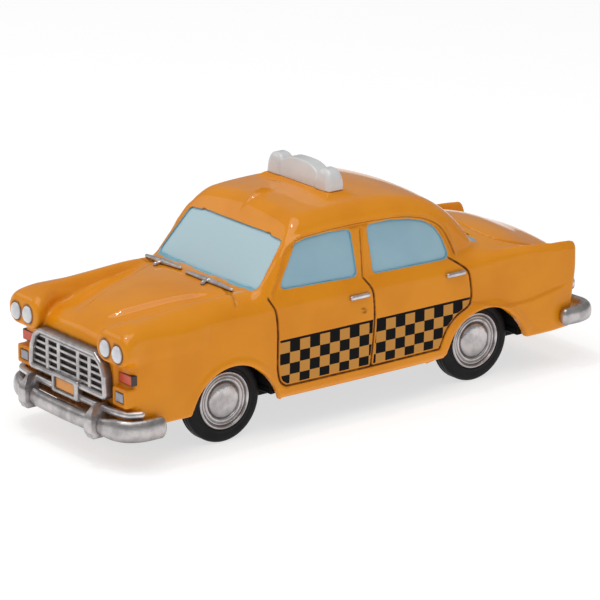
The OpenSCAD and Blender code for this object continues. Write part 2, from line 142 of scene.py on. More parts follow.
def smooth_line(points, pieces=6):
    """More points along a line, on a smooth curve through it."""
    at = np.concatenate([[0], np.cumsum([math.dist(p, q) for p, q in zip(points, points[1:])])])
    t = np.concatenate([np.linspace(a, b, pieces, endpoint=False) for a, b in zip(at, at[1:])] + [at[-1:]])
    axes = [curve(t, list(zip(at, [p[k] for p in points]))) for k in range(len(points[0]))]
    return list(zip(*axes))


def polygon(u, v, points):
    """Distance to a closed outline, negative inside."""
    sides = list(zip(points, points[1:] + points[:1]))
    sign = 1.0
    for (au, av), (bu, bv) in sides:
        above, below = v >= av, v < bv
        left = (bu - au) * (v - av) > (bv - av) * (u - au)
        flips = (above & below & left) | ~(above | below | left)
        sign = np.where(flips, -sign, sign)
    return nearest(to_segment(u, v, p, q) for p, q in sides) * sign


def inset(points, r):
    """An outline with each side moved inwards by r."""
    area = sum(p[0] * q[1] - q[0] * p[1] for p, q in zip(points, points[1:] + points[:1]))
    turn = math.copysign(1, area)
    moved = []
    for before, here, after in zip(points[-1:] + points[:-1], points, points[1:] + points[:1]):
        normals = []
        for p, q in ((before, here), (here, after)):
            length = math.dist(p, q)
            normals.append((-turn * (q[1] - p[1]) / length, turn * (q[0] - p[0]) / length))
        (mu, mv), (nu, nv) = normals
        share = r / (1 + mu * nu + mv * nv)
        moved.append((here[0] + (mu + nu) * share, here[1] + (mv + nv) * share))
    return moved


def rounded(u, v, points, r):
    """Distance to an outline whose corners are rounded to r."""
    return polygon(u, v, inset(points, r)) - r


def block(offsets, half_sizes, r):
    """Distance to a box with rounded edges: offsets from its centre along each axis."""
    out = [np.abs(o) - h + r for o, h in zip(offsets, half_sizes)]
    outside = np.sqrt(sum(np.maximum(o, 0) ** 2 for o in out))
    inside = out[0]
    for o in out[1:]:
        inside = np.maximum(inside, o)
    return outside + np.minimum(inside, 0) - r


def rod(x, y, z, start, end, r_start, r_end):
    """Distance to a rod with round ends, tapering from one radius to another."""
    a, b = np.array(start, float), np.array(end, float)
    e = b - a
    w = (x - a[0], y - a[1], z - a[2])
    t = np.clip(sum(wk * ek for wk, ek in zip(w, e)) / (e @ e), 0, 1)
    d = np.sqrt(sum((wk - ek * t) ** 2 for wk, ek in zip(w, e)))
    return d - (r_start + (r_end - r_start) * t)


def ellipsoid(offsets, half_sizes, scale):
    """About the distance to an ellipsoid, true near a half size of scale."""
    return (np.sqrt(sum((o / h) ** 2 for o, h in zip(offsets, half_sizes)) + 1e-9) - 1) * scale


# ---- Meshes ----


def surface(field, low, high, pitch):
    """Points and quads of the skin where field is zero, with one point in each cell that it crosses."""
    axes = [np.arange(lo, hi + pitch, pitch) for lo, hi in zip(low, high)]
    x, y, z = axes[0][:, None, None], axes[1][None, :, None], axes[2][None, None, :]
    shape = tuple(len(axis) for axis in axes)
    value = np.broadcast_to(field(x, y, z), shape)
    cells = tuple(n - 1 for n in shape)
    quads, marks = [], []
    for axis in range(3):
        near, far = [slice(None)] * 3, [slice(None)] * 3
        near[axis], far[axis] = slice(None, -1), slice(1, None)
        a, b = value[tuple(near)], value[tuple(far)]
        index = np.stack(np.nonzero((a < 0) != (b < 0)), 1)
        u, v = (axis + 1) % 3, (axis + 2) % 3
        keep = (index[:, u] > 0) & (index[:, v] > 0)
        keep &= (index[:, u] < shape[u] - 1) & (index[:, v] < shape[v] - 1)
        index = index[keep]
        va, vb = a[tuple(index.T)], b[tuple(index.T)]
        crossing = index.astype(float)
        crossing[:, axis] += va / (va - vb)
        corners = []
        for du, dv in ((0, 0), (-1, 0), (-1, -1), (0, -1)):
            cell = index.copy()
            cell[:, u] += du
            cell[:, v] += dv
            corners.append(np.ravel_multi_index(cell.T, cells))
        quad = np.stack(corners, 1)
        quad[va > 0] = quad[va > 0][:, ::-1]
        quads.append(quad)
        marks.append(np.repeat(crossing[:, None, :], 4, 1))
    quads, marks = np.concatenate(quads), np.concatenate(marks)
    used, number = np.unique(quads, return_inverse=True)
    number = number.reshape(quads.shape)
    count = np.bincount(number.ravel(), minlength=len(used))
    points = np.stack([np.bincount(number.ravel(), marks[..., k].ravel()) / count for k in range(3)], 1)
    return points * pitch + np.array(low), number


def gradient(field, points, reach=0.02):
    """Direction in which field grows, at each point."""
    slopes = []
    for k in range(3):
        shift = np.zeros(3)
        shift[k] = reach
        ahead, behind = points + shift, points - shift
        slopes.append((field(*ahead.T) - field(*behind.T)) / (2 * reach))
    return np.stack(slopes, 1)


def settle(field, points, most, rounds=3):
    """Points moved onto the skin, none by more than most in a round."""
    for _ in range(rounds):
        slope = gradient(field, points)
        size = np.maximum((slope ** 2).sum(1, keepdims=True), 0.04)
        move = -field(*points.T)[:, None] * slope / size
        length = np.maximum(np.linalg.norm(move, axis=1, keepdims=True), 1e-9)
        points = points + move * np.minimum(1, most / length)
    return points


def add_piece(name, points, faces, material, body="cab", slot=None, nodes=()):
    """A smooth-shaded object from points in millimetres, riding on a body."""
    mesh = bpy.data.meshes.new(name)
    mesh.from_pydata((np.asarray(points) * MM).tolist(), [], np.asarray(faces).tolist())
    mesh.validate()
    mesh.shade_smooth()
    mesh.materials.append(material)
    piece = bpy.data.objects.new(name, mesh)
    bpy.context.scene.collection.objects.link(piece)
    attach(piece, body)
    if nodes:
        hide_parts(*nodes)
    return piece


def thin(piece, share):
    """Fewer faces where the surface is flat, with share of them left."""
    modifier = piece.modifiers.new("thin", "DECIMATE")
    modifier.ratio = share
    evaluated = piece.evaluated_get(bpy.context.evaluated_depsgraph_get())
    mesh = bpy.data.meshes.new_from_object(evaluated)
    piece.modifiers.remove(modifier)
    old, piece.data = piece.data, mesh
    bpy.data.meshes.remove(old)
    mesh.name = piece.name


def cast(name, field, low, high, pitch, material, share=1.0, **placing):
    """A piece whose skin is where field is zero, finely divided and shaded by the field's own slope."""
    points, quads = surface(field, low, high, pitch)
    piece = add_piece(name, settle(field, points, pitch / 2), quads, material, **placing)
    if share < 1:
        thin(piece, share)
    mesh = piece.data
    points = np.empty(len(mesh.vertices) * 3)
    mesh.vertices.foreach_get("co", points)
    points = points.reshape(-1, 3) / MM
    if share < 1:
        points = settle(field, points, pitch / 4, 1)
        mesh.vertices.foreach_set("co", (points * MM).ravel())
    slope = gradient(field, points, 0.05)
    slope /= np.maximum(np.linalg.norm(slope, axis=1, keepdims=True), 1e-9)
    mesh.shade_smooth()
    mesh.normals_split_custom_set_from_vertices(slope.tolist())
    return piece, points


def mark(piece, name, values):
    """A value at each point of a piece, for its material."""
    attribute = piece.data.attributes.new(name, "FLOAT", "POINT")
    attribute.data.foreach_set("value", np.asarray(values, np.float32))


# ---- Materials ----


class Wire:
    """A socket that Python's operators work on: each operator adds a Math node."""

    def __init__(self, shade, socket):
        self.shade, self.socket = shade, socket

    def math(self, operation, *others):
        return self.shade.node("ShaderNodeMath", {"operation": operation}, *((self,) + others))

    def __add__(self, other):
        return self.math("ADD", other)

    def __sub__(self, other):
        return self.math("SUBTRACT", other)

    def __rsub__(self, other):
        return self.shade.node("ShaderNodeMath", {"operation": "SUBTRACT"}, other, self)

    def __mul__(self, other):
        return self.math("MULTIPLY", other)

    def __truediv__(self, other):
        return self.math("DIVIDE", other)

    __radd__, __rmul__ = __add__, __mul__

    def abs(self):
        return self.math("ABSOLUTE")

    def above(self, edge):
        return self.math("GREATER_THAN", edge)

    def clip(self):
        return self.shade.node("ShaderNodeClamp", {}, self)

    def ramp(self, low, high):
        """0 at low, 1 at high, smooth between."""
        settings = {"interpolation_type": "SMOOTHSTEP"}
        return self.shade.node("ShaderNodeMapRange", settings, self, low, high, 0.0, 1.0)


class Shade:
    """A material under construction."""

    def __init__(self, name):
        self.material = bpy.data.materials.new(name)
        self.material.use_nodes = True
        self.tree = self.material.node_tree
        self.shader = self.tree.nodes["Principled BSDF"]

    def set_input(self, socket, value):
        if isinstance(value, Wire):
            self.tree.links.new(value.socket, socket)
        elif isinstance(value, tuple) and len(value) == 3 and socket.type == "RGBA":
            socket.default_value = (*value, 1)
        else:
            socket.default_value = value

    def node(self, kind, settings, *values, out=0, **named):
        """Any node: its type, its settings, then its sockets' values by place or by name."""
        made = self.tree.nodes.new(kind)
        for key, value in settings.items():
            setattr(made, key, value)
        for i, value in enumerate(values):
            self.set_input(made.inputs[i], value)
        for key, value in named.items():
            self.set_input(made.inputs[key.replace("_", " ")], value)
        return Wire(self, made.outputs[out])

    def mark(self, name):
        return self.node("ShaderNodeAttribute", {"attribute_name": name}, out=2)

    def place(self):
        """Object coordinates in millimetres, as three wires."""
        where = self.node("ShaderNodeTexCoord", {}, out=3)
        scaled = self.node("ShaderNodeVectorMath", {"operation": "SCALE"}, where, Scale=1 / MM)
        split = self.node("ShaderNodeSeparateXYZ", {}, scaled)
        return scaled, [Wire(self, o) for o in split.socket.node.outputs]

    def noise(self, where, scale, detail=3.0):
        return self.node("ShaderNodeTexNoise", {}, Vector=where, Scale=scale, Detail=detail)

    def mix(self, share, first, second, blend="MIX"):
        """Two colours mixed."""
        settings = {"data_type": "RGBA", "blend_type": blend}
        made = self.node("ShaderNodeMix", settings, share, out=2).socket.node
        self.set_input(made.inputs[6], first)
        self.set_input(made.inputs[7], second)
        return Wire(self, made.outputs[2])

    def bump(self, height, distance, strength=1.0):
        return self.node("ShaderNodeBump", {}, Strength=strength, Distance=distance * MM, Height=height)

    def finish(self, **inputs):
        for key, value in inputs.items():
            self.set_input(self.shader.inputs[key.replace("_", " ")], value)
        return self.material


PAINT_COLOUR = (0.88, 0.315, 0.009)
# Colour of the painted shade in grooves and recesses
PAINTED_SHADE_COLOUR = (0.075, 0.022, 0.008)
BLACK = (0.004, 0.004, 0.005)
WORN_BLACK = (0.008, 0.008, 0.009)
SILVER_COLOUR = (0.52, 0.49, 0.49)

CHECK_TOP = 19.85
CHECK_LINE = 0.5
CHECK_H = 2.32
CHECK_W = 2.49
CHECK_STARTS = (-20.95, 3.25)


def body_paint():
    """Glossy yellow paint, with painted shade in its engraved lines and recesses, a painted shadow line under
    the drip rail, and the checkered door bands.
    """
    shade = Shade("body_paint")
    where, (x, y, z) = shade.place()
    drift = shade.noise(where, 0.09, 2.0)
    colour = shade.mix(drift.ramp(0.35, 0.7), PAINT_COLOUR, (0.82, 0.278, 0.006))
    speck = shade.noise(where, 1.1, 4.0).ramp(0.62, 0.8)
    colour = shade.mix(speck * 0.10, colour, (0.62, 0.20, 0.01))
    # Bands on the doors: a line along the top, then four rows of squares, inside the door's outline
    front_door, rear_door = shade.mark("front_door"), shade.mark("rear_door")
    rear = y.above(2.4)
    column = ((y - (rear * (CHECK_STARTS[1] - CHECK_STARTS[0]) + CHECK_STARTS[0])) / CHECK_W).math("FLOOR")
    row = ((CHECK_TOP - CHECK_LINE - z) / CHECK_H).math("FLOOR")
    odd = ((column + row + rear).math("MODULO", 2.0)).abs().above(0.5)
    line = z.above(CHECK_TOP - CHECK_LINE)
    inside = (front_door * -1).math("MAXIMUM", rear_door * -1)
    band = (CHECK_TOP - z).above(0) * inside.above(0.45)
    dark = band * (odd + line).clip()
    colour = shade.mix(band, colour, (0.62, 0.27, 0.04))
    colour = shade.mix(dark, colour, BLACK)
    # Painted shade in the engraved lines: the doors' outlines, the door pillar, the painted shadow line under
    # the drip rail, the rest
    seam = 1 - front_door.abs().math("MINIMUM", rear_door.abs()).ramp(0.08, 0.36)
    low = 1 - z.ramp(28.5, 29.3)
    pillar = (y - 0.7).abs().ramp(1.6, 1.2) * 0.5 * (1 - z.ramp(38.2, 38.8))
    seam = seam * x.abs().ramp(14, 15) * low.math("MAXIMUM", pillar)
    # A painted shadow line just below the drip rail's rib
    rail = 1 - (shade.mark("drip") + 0.42).abs().ramp(0.05, 0.26)
    rail = rail * z.ramp(28.6, 29.6) * x.abs().ramp(14.0, 14.8) * (y.ramp(-18.5, -14.5) * 0.45 + 0.12)
    colour = shade.mix(1 - shade.mark("window").ramp(0.1, 0.2), colour, (0.20, 0.45, 0.55))
    # All the painted shade together, made patchy by noise, then laid over the paint
    groove = seam.math("MAXIMUM", rail).math("MAXIMUM", shade.mark("groove"))
    patchy = shade.noise(where, 0.8, 3.0).ramp(0.25, 0.6) * 0.25 + 0.75
    groove = (groove * patchy).clip()
    colour = shade.mix(groove, colour, PAINTED_SHADE_COLOUR)
    facing = shade.node("ShaderNodeSeparateXYZ", {}, shade.node("ShaderNodeNewGeometry", {}, out=1), out=2)
    coat = (facing.ramp(0.0, 0.8) * 0.5 + 0.35) * (1 - (dark + groove).clip() * 0.95)
    rough = drift * 0.08 + 0.34 + groove * 0.25
    skin = shade.noise(where, 2.2, 2.0) * 0.5 + shade.noise(where, 0.35, 2.0)
    return shade.finish(
        Base_Color=colour, Roughness=rough, Coat_Weight=coat, Coat_Roughness=0.05, Specular_IOR_Level=0.06,
        Normal=shade.bump(skin, 0.05, 0.3),
    )


def pane_paint():
    """Pale blue painted glass, brighter at its edges, with the windscreen and rear window lighter as a
    painted sheen.
    """
    shade = Shade("pane_paint")
    where, _ = shade.place()
    rim = shade.mark("rim")
    edge = (rim * -1).ramp(0.45, 0.1)
    drift = shade.noise(where, 0.12, 3.0).ramp(0.3, 0.75)
    colour = shade.mix(drift, (0.30, 0.50, 0.61), (0.34, 0.55, 0.65))
    # A painted sheen: the windscreen and rear window are lighter
    colour = shade.mix(shade.mark("painted_sheen"), colour, (0.50, 0.69, 0.76))
    colour = shade.mix(edge * 0.3, colour, (0.13, 0.46, 0.62))
    return shade.finish(
        Base_Color=colour, Roughness=drift * 0.1 + 0.34, Coat_Weight=0.5, Coat_Roughness=0.1,
        Specular_IOR_Level=0.2, Normal=shade.bump(shade.noise(where, 1.4, 2.0), 0.04, 0.3),
    )


def silver_paint(name, bright=1.0, rough=0.24, underside_shade=(0.1, -0.9)):
    """Pewter-coloured metal paint, with painted shade in the hollows, brown and rougher there, and painted
    shade darkening the underside.
    """
    shade = Shade(name)
    where, _ = shade.place()
    facing = shade.node("ShaderNodeSeparateXYZ", {}, shade.node("ShaderNodeNewGeometry", {}, out=1), out=2)
    # Painted shade: darker where the surface faces down
    below = facing.ramp(*underside_shade)
    hollow = shade.mark("depth").clip()
    grain = shade.noise(where, 3.0, 5.0)
    cloud = shade.noise(where, 0.45, 3.0).ramp(0.3, 0.75)
    light = tuple(bright * c for c in SILVER_COLOUR)
    colour = shade.mix(cloud, light, tuple(0.62 * c for c in light))
    colour = shade.mix(below * 0.75, colour, tuple(0.16 * c for c in light))
    # Painted shade in the hollows, dark brown
    colour = shade.mix(hollow * 0.94, colour, (0.035, 0.020, 0.014))
    return shade.finish(
        Base_Color=colour, Metallic=0.92 - hollow * 0.6,
        Roughness=grain * 0.12 + cloud * 0.06 + rough + hollow * 0.25,
        Coat_Weight=0.3, Coat_Roughness=0.12,
        Normal=shade.bump(grain + cloud * 2, 0.04, 0.4),
    )


def plain_paint(name, colour, second, rough, coat, scale=1.5, height=0.03, shine=0.5, **more):
    """A painted or moulded finish with a drift of colour and fine unevenness."""
    shade = Shade(name)
    where, _ = shade.place()
    drift = shade.noise(where, scale * 0.2, 3.0).ramp(0.3, 0.75)
    grain = shade.noise(where, scale * 2, 4.0)
    return shade.finish(
        Base_Color=shade.mix(drift, colour, second), Roughness=grain * 0.12 + rough,
        Coat_Weight=coat, Coat_Roughness=0.08, Specular_IOR_Level=shine,
        Normal=shade.bump(grain, height, 0.4), **more,
    )


def outlined_paint(name, colour, second, rough, coat=0.7):
    """A painted lamp, with painted shade as a dark line round its edge."""
    shade = Shade(name)
    where, _ = shade.place()
    drift = shade.noise(where, 0.5, 3.0).ramp(0.3, 0.75)
    shown = shade.mix(drift, colour, second)
    shown = shade.mix(shade.mark("depth").clip(), shown, (0.03, 0.012, 0.008))
    return shade.finish(
        Base_Color=shown, Roughness=shade.noise(where, 2.0) * 0.1 + rough,
        Coat_Weight=coat, Coat_Roughness=0.08, Normal=shade.bump(drift, 0.04, 0.3),
    )


PAINT = body_paint()
PANE = pane_paint()
SILVER = silver_paint("silver_paint", bright=1.15)
BRIGHT_SILVER = silver_paint("bright_silver_paint", bright=1.55)
# The wheel covers are darker on their lower half: painted shade
WHEEL_SILVER = silver_paint("wheel_silver", bright=1.5, rough=0.10, underside_shade=(0.45, -0.5))
RUBBER = plain_paint("tyre_rubber", BLACK, WORN_BLACK, 0.42, 0.06, 2.0, shine=0.15)
BLACK_PLASTIC = plain_paint("black_plastic", (0.004, 0.004, 0.004), WORN_BLACK, 0.5, 0.0, 2.5, shine=0.1)
LAMP_WHITE = outlined_paint("lamp_white", (0.80, 0.81, 0.84), (0.70, 0.71, 0.75), 0.2)
LAMP_ORANGE = outlined_paint("lamp_orange", (0.70, 0.060, 0.010), (0.76, 0.09, 0.015), 0.35, 0.3)
LAMP_RED = outlined_paint("lamp_red", (0.45, 0.012, 0.008), (0.55, 0.02, 0.01), 0.25)
LAMP_GREY = outlined_paint("lamp_grey", (0.25, 0.26, 0.33), (0.36, 0.37, 0.43), 0.3)
SIGN_WHITE = plain_paint("sign_white", (0.80, 0.80, 0.80), (0.72, 0.72, 0.73), 0.25, 0.8, 0.8)
PLATE_ORANGE = plain_paint("plate_orange", PAINT_COLOUR, (0.70, 0.24, 0.01), 0.35, 0.5)
STEEL = plain_paint("bare_steel", (0.42, 0.42, 0.43), (0.34, 0.34, 0.35), 0.28, 0.0, 3.0, Metallic=1.0)


# ---- The cast body ----

# Heights along the middle of the bonnet, the cab's floor line and the boot lid
MIDDLE = [
    (-57, 23.3), (-56, 24.8), (-54, 26.1), (-50, 27.3), (-44, 28.6), (-36, 29.8), (-30, 30.5),
    (-24, 30.9), (0, 30.9), (28, 30.9), (36, 31.0), (41, 30.7), (44, 30.1), (49, 28.2), (56, 24.9),
    (57.5, 23.6),
]
# How much lower the same line is 15 mm from the middle
CROWN = [
    (-57, 0.8), (-50, 1.7), (-40, 1.2), (-30, 0.9), (0, 1.4), (30, 1.8), (41, 2.7), (50, 2.2),
    (57, 1.4),
]
# Crest of the fenders, the doors' shoulder and the fins
CREST = [
    (-58.7, 26.8), (-57.6, 27.7), (-56, 28.3), (-51, 29.0), (-42, 29.7), (-32, 30.2), (-26, 30.0),
    (-20, 29.8), (0, 29.2), (22, 28.7), (30, 28.3), (40, 27.9), (48, 27.6), (54, 27.5), (56, 27.2),
    (57.2, 26.2),
]
# Distance of the crest's inner edge from the middle, and how fast it falls inwards
CREST_X = [(-58, 15.0), (-40, 15.2), (-20, 16.0), (20, 16.4), (40, 17.5), (50, 18.8), (57, 18.9)]
CREST_FALL = [
    (-58, 0.5), (-54, 0.75), (-42, 0.6), (-32, 0.3), (-26, 0.12), (20, 0.2), (38, 0.35), (46, 0.9),
    (50, 1.5), (57, 1.6),
]
SHOULDER_R = [(-57, 3.4), (-40, 4.0), (0, 3.6), (26, 3.2), (38, 2.0), (48, 1.2), (57, 1.0)]
FLANK = [(-58, 18.9), (-54, 19.45), (-46, 19.5), (40, 19.55), (52, 19.6), (57, 19.4)]
SHOULDER_CREASE = [(22, 28.6), (26.4, 27.9), (40, 26.8), (53.9, 25.4), (57, 25.2)]
LOWER_CREASE = [(26, 18.9), (30, 18.3), (37.3, 16.5), (43, 16.4), (49.5, 17.4), (54, 18.0)]
PANEL_HALF_W = [(-57, 2.6), (-53, 3.7), (-46, 6.0), (-38, 8.6), (-30, 12.0)]

ARCH_R = 9.9
ARCH_Z = AXLE_Z - 1.9
ARCH_IN = 14
TUB_R = 12
TUB_IN = 9
WALL = 1.8
FLOOR_TOP = 10.4
FLOOR_END = 54.2

FRONT_SEAM = smooth_line([
    (-23.1, 28.6), (-21.8, 26.2), (-21.3, 22.9), (-21.3, 16.5), (-21.1, 12.8), (-20.6, 11.2),
    (-19.2, 10.1),
], 3)
MIDDLE_SEAM = smooth_line([(0.4, 28.9), (2.4, 26.1), (2.9, 22.5), (2.8, 17.1), (2.1, 10.0)], 3)
REAR_SEAM = smooth_line([
    (22.9, 28.8), (25.6, 26.9), (27.3, 25.3), (27.9, 22.9), (27.8, 18.5), (24.4, 16.4), (21.8, 13.9),
    (20.1, 10.1),
], 3)
PILLAR_SEAM = [(0.5, 29.2), (0.9, 38.6)]
BOTTOM_SEAM = [(-19.2, 10.1), (20.1, 10.1)]
HIGH = 60
FRONT_DOOR = [(-23.1, HIGH)] + FRONT_SEAM + MIDDLE_SEAM[::-1] + [(0.9, HIGH)]
REAR_DOOR = [(0.9, HIGH)] + MIDDLE_SEAM + REAR_SEAM[::-1] + [(22.9, HIGH)]
DRIP_LINE = smooth_line([
    (-22.6, 29.6), (-20.2, 34.0), (-17.9, 38.0), (-15.6, 39.3), (-10, 40.0), (-3, 40.25), (5, 40.1),
    (12.9, 39.4), (17.9, 38.0), (21.4, 35.8), (23.9, 31.9), (25.3, 28.6),
], 4)
BELOW_RAIL = DRIP_LINE + [(25.3, -HIGH), (-22.6, -HIGH)]
FRONT_DOOR_WINDOW = [(-20.2, 30.0), (-15.5, 38.2), (-12.7, 38.9), (-7, 39.1), (-1.9, 38.8), (-1.0, 29.3)]
REAR_DOOR_WINDOW = [
    (3.2, 29.2), (2.4, 38.9), (8, 39.0), (13.5, 38.3), (17.2, 37.2), (19.6, 35.6), (21.3, 33.3), (23.2, 28.7),
]
WINDSCREEN = [(-16.9, 30.3), (-15.4, 38.8), (-9, 39.4), (9, 39.4), (15.4, 38.8), (16.9, 30.3)]
REAR_WINDOW = [(-15.8, 29.6), (-14.3, 36.4), (-8, 37.2), (8, 37.2), (14.3, 36.4), (15.8, 29.6)]
PANE_DEPTH = 0.4
POCKET_DEPTH = 1.35

LOCK = (0.1, 22.2)
LOCK_R = 0.42
LAMPS = [(17.75, 23.95), (13.6, 24.15)]
LAMP_HALF = (1.62, 1.8)
POD_FACE = BODY_LOW[1] - 0.2
GRILLE_SHAPE = [
    (-13.65, 13.3), (-13.2, 18.2), (-11.9, 20.9), (-9.75, 22.4),
    (9.75, 22.4), (11.9, 20.9), (13.2, 18.2), (13.65, 13.3),
]
TURN_LAMP = (17.0, 18.35)
PARKING_LAMP = (16.7, 14.75)


def deck(a, y):
    """Height of the bonnet, shoulder, boot lid and fin, a from the middle."""
    panel = 1 - step(a, curve(y, PANEL_HALF_W) - 0.9, curve(y, PANEL_HALF_W) + 0.7)
    raised = 0.75 * panel * (1 - step(y, -36, -29)) * step(y, -54, -47)
    middle = curve(y, MIDDLE) - curve(y, CROWN) * (a / 15) ** 2 + raised - 0.45 * (1 - step(y, -36, -28))
    crest = curve(y, CREST) - curve(y, CREST_FALL) * np.maximum(curve(y, CREST_X) - a, 0) ** 2
    return soft_max(middle, crest, 0.6)


def arch_distance(y, z):
    """Distance from the nearer arch's centre, each arch leaning back below its middle."""
    lean = 0.22 * np.maximum(14.5 - z, 0)
    along = (y - middle - lean * step(y, middle, middle + 6) for middle in AXLES_Y)
    return nearest(np.hypot(offset, z - ARCH_Z) for offset in along)


def seams(y, z):
    """Distance to the nearest engraved line of a door."""
    return nearest(trace(y, z, line) for line in (FRONT_SEAM, MIDDLE_SEAM, REAR_SEAM))


def flank(y, z):
    """Half width of the lower body."""
    width = curve(y, FLANK) - 0.0028 * (z - 20.5) ** 2
    lip = bell(arch_distance(y, z) - ARCH_R - 0.7, 0.85) * step(z, 8.4, 10.5)
    rear = step(y, 24, 31)
    above = np.maximum(z - curve(y, SHOULDER_CREASE), 0) * 1.9
    below = 0.5 * step(curve(y, LOWER_CREASE) - z, -0.15, 0.5) * rear * (1 - step(y, 49, 55))
    front_lean = 0.05 * np.maximum(z - 24.6, 0) * (1 - step(y, -30, -22))
    rocker = 0.22 * step(10.2 - z, -0.25, 0.35) * (1 - step(np.abs(y), 19, 21.5))
    engraved = 0.5 * bell(seams(y, z), 0.27) + 0.16 * bell(trace(y, z, BOTTOM_SEAM), 0.35)
    return width + 0.36 * lip - 0.24 * above * rear + below - front_lean + rocker - engraved


def lower_body(a, y, z):
    shell = round_max(a - flank(y, z), z - deck(a, y), curve(y, SHOULDER_R))
    fascia = 0.5 * step(a, 13.6, 14.4) * (1 - step(z, 21.0, 22.0))
    nose = NOSE + 0.0015 * a ** 2 + fascia - y
    tail = y - (TAIL - 0.0008 * a ** 2 - 0.9 * (1 - step(z, 13, 22)))
    shell = round_max(shell, nose, 1.6)
    shell = round_max(shell, tail, 1.3)
    return round_max(shell, SILL - z, 0.8)


def pod(a, y, z):
    """The hooded housing of two lamps, running back into the fender."""
    r = 2.75
    back = step(y, -57.8, -51.5)
    middle = 15.45 + 0.55 * back
    top = np.maximum(curve(y, CREST) - r - 1.5 * step(y, -54, -44), 24.1)
    out_a = np.maximum(np.abs(a - middle) - 2.45 + 1.65 * back, 0)
    out_z = np.maximum(np.abs(z - (24.05 + top) / 2) - (top - 24.05) / 2, 0)
    tube = np.hypot(out_a, out_z) - r
    return round_max(round_max(tube, POD_FACE - y, 0.65), y + 38, 2)


def parking_housing(a, y, z):
    shape = block((a - PARKING_LAMP[0] - 0.05, y - NOSE - 1.3, z - PARKING_LAMP[1]), (2.35, 1.95, 1.95), 0.4)
    hollow = block((a - PARKING_LAMP[0], y - NOSE + 0.9, z - PARKING_LAMP[1]), (1.45, 0.7, 1.15), 0.25)
    return round_max(shape, -hollow, 0.2)


def cabin_half_w(y, z):
    rise = np.clip((z - 29) / 10.6, 0, 2)
    rail = trace(y, z, DRIP_LINE)
    rib = 0.5 * bell(rail, 0.42) - 0.2 * bell(polygon(y, z, BELOW_RAIL) + 0.8, 0.3)
    taper = 1.4 * rise ** 1.2 + np.where(y > 1, 0.9, 0.3) * ((y - 1) / 24) ** 4
    return 18.6 - taper + rib - 0.35 * bell(trace(y, z, PILLAR_SEAM), 0.25)


ROOF = [
    (-24, 41.2), (-20, 42.6), (-16, 43.5), (-11, 44.15), (-5, 44.45), (0, 44.5), (6, 44.4), (12, 43.8),
    (18, 42.5), (23, 40.7), (28, 38.0), (33, 34.2), (36, 31.5),
]


def cabin(a, y, z):
    side = a - cabin_half_w(y, z)
    roof = (z - curve(y, ROOF) + 0.0045 * a ** 2) * 0.95
    screen = (-26.2 + 0.85 * (z - 29.4) + 0.0024 * a ** 2 - y) * 0.76
    back = (y - 34.6 + 0.92 * (z - 29.4) + 0.006 * a ** 2) * 0.74
    shell = round_max(side, roof, 3.3)
    shell = round_max(shell, screen, 1.3)
    return round_max(shell, back, 3.0)


def plinth(a, y, z):
    slope = np.hypot(1, 0.6)
    sides = np.maximum(a - 10.6 - (PLINTH_TOP - z) * 1.1, np.abs(y) - 2.3 - (PLINTH_TOP - z) * 1.1) / slope
    return round_max(sides, z - PLINTH_TOP, 0.4)


def window_edge(x, y, z):
    """Distance to the outline of the nearest window, negative inside."""
    side = np.minimum(rounded(y, z, FRONT_DOOR_WINDOW, 0.9), rounded(y, z, REAR_DOOR_WINDOW, 0.9))
    side = np.maximum(side, 12 - np.abs(x))
    screen = np.maximum(rounded(x, z, WINDSCREEN, 0.9), y + 12)
    back = np.maximum(rounded(x, z, REAR_WINDOW, 1.6), 24 - y)
    return nearest((side, screen, back))


BOOT_SEAM = smooth_line([(0, 36.6), (8, 37.0), (12.5, 38.6), (14.6, 42.0), (15.2, 48.0), (15.0, 55.0)], 3)
COWL_SEAM = smooth_line([(11.5, -28.6), (15.5, -29.8), (19.0, -31.0), (21.5, -32.0)], 3)


def body(x, y, z):
    """The whole casting."""
    a = np.abs(x)
    top_lines = 0.3 * bell(trace(a, y, BOOT_SEAM), 0.28) * step(z, 20, 22)
    top_lines = top_lines + 0.15 * bell(trace(a, y, COWL_SEAM), 0.3) * step(z, 27.6, 28.2)
    low = lower_body(a, y, z)
    low = round_min(low, pod(a, y, z), 1.1)
    low = round_min(low, parking_housing(a, y, z), 0.25)
    top = cabin(a, y, z)
    whole = soft_min(low, top, 1.3)
    whole = round_min(whole, plinth(a, y, np.maximum(z, 40)) + 50 * (z < 40), 0.5)
    past_skin = np.where(z < 31.4, top - 0.8, -HIGH)
    pockets = np.maximum(window_edge(x, y, z), np.maximum(past_skin, -(top + POCKET_DEPTH)))
    whole = round_max(whole + top_lines, -pockets, 0.28)
    arch = arch_distance(y, z)
    inner = nearest(np.hypot(y - middle, z - AXLE_Z) for middle in AXLES_Y)
    # Each arch is cut through the side, and widens behind the skin to take the wheel and its tub
    opening = np.maximum(arch - ARCH_R, ARCH_IN - a)
    behind = np.maximum(np.maximum(inner - TUB_R, a - HALF_W + WALL), TUB_IN - a)
    whole = round_max(whole, -np.minimum(opening, behind), 0.35)
    under = np.maximum(np.maximum(a - HALF_W + WALL, z - FLOOR_TOP), np.abs(y) - FLOOR_END)
    return np.maximum(whole, -under)


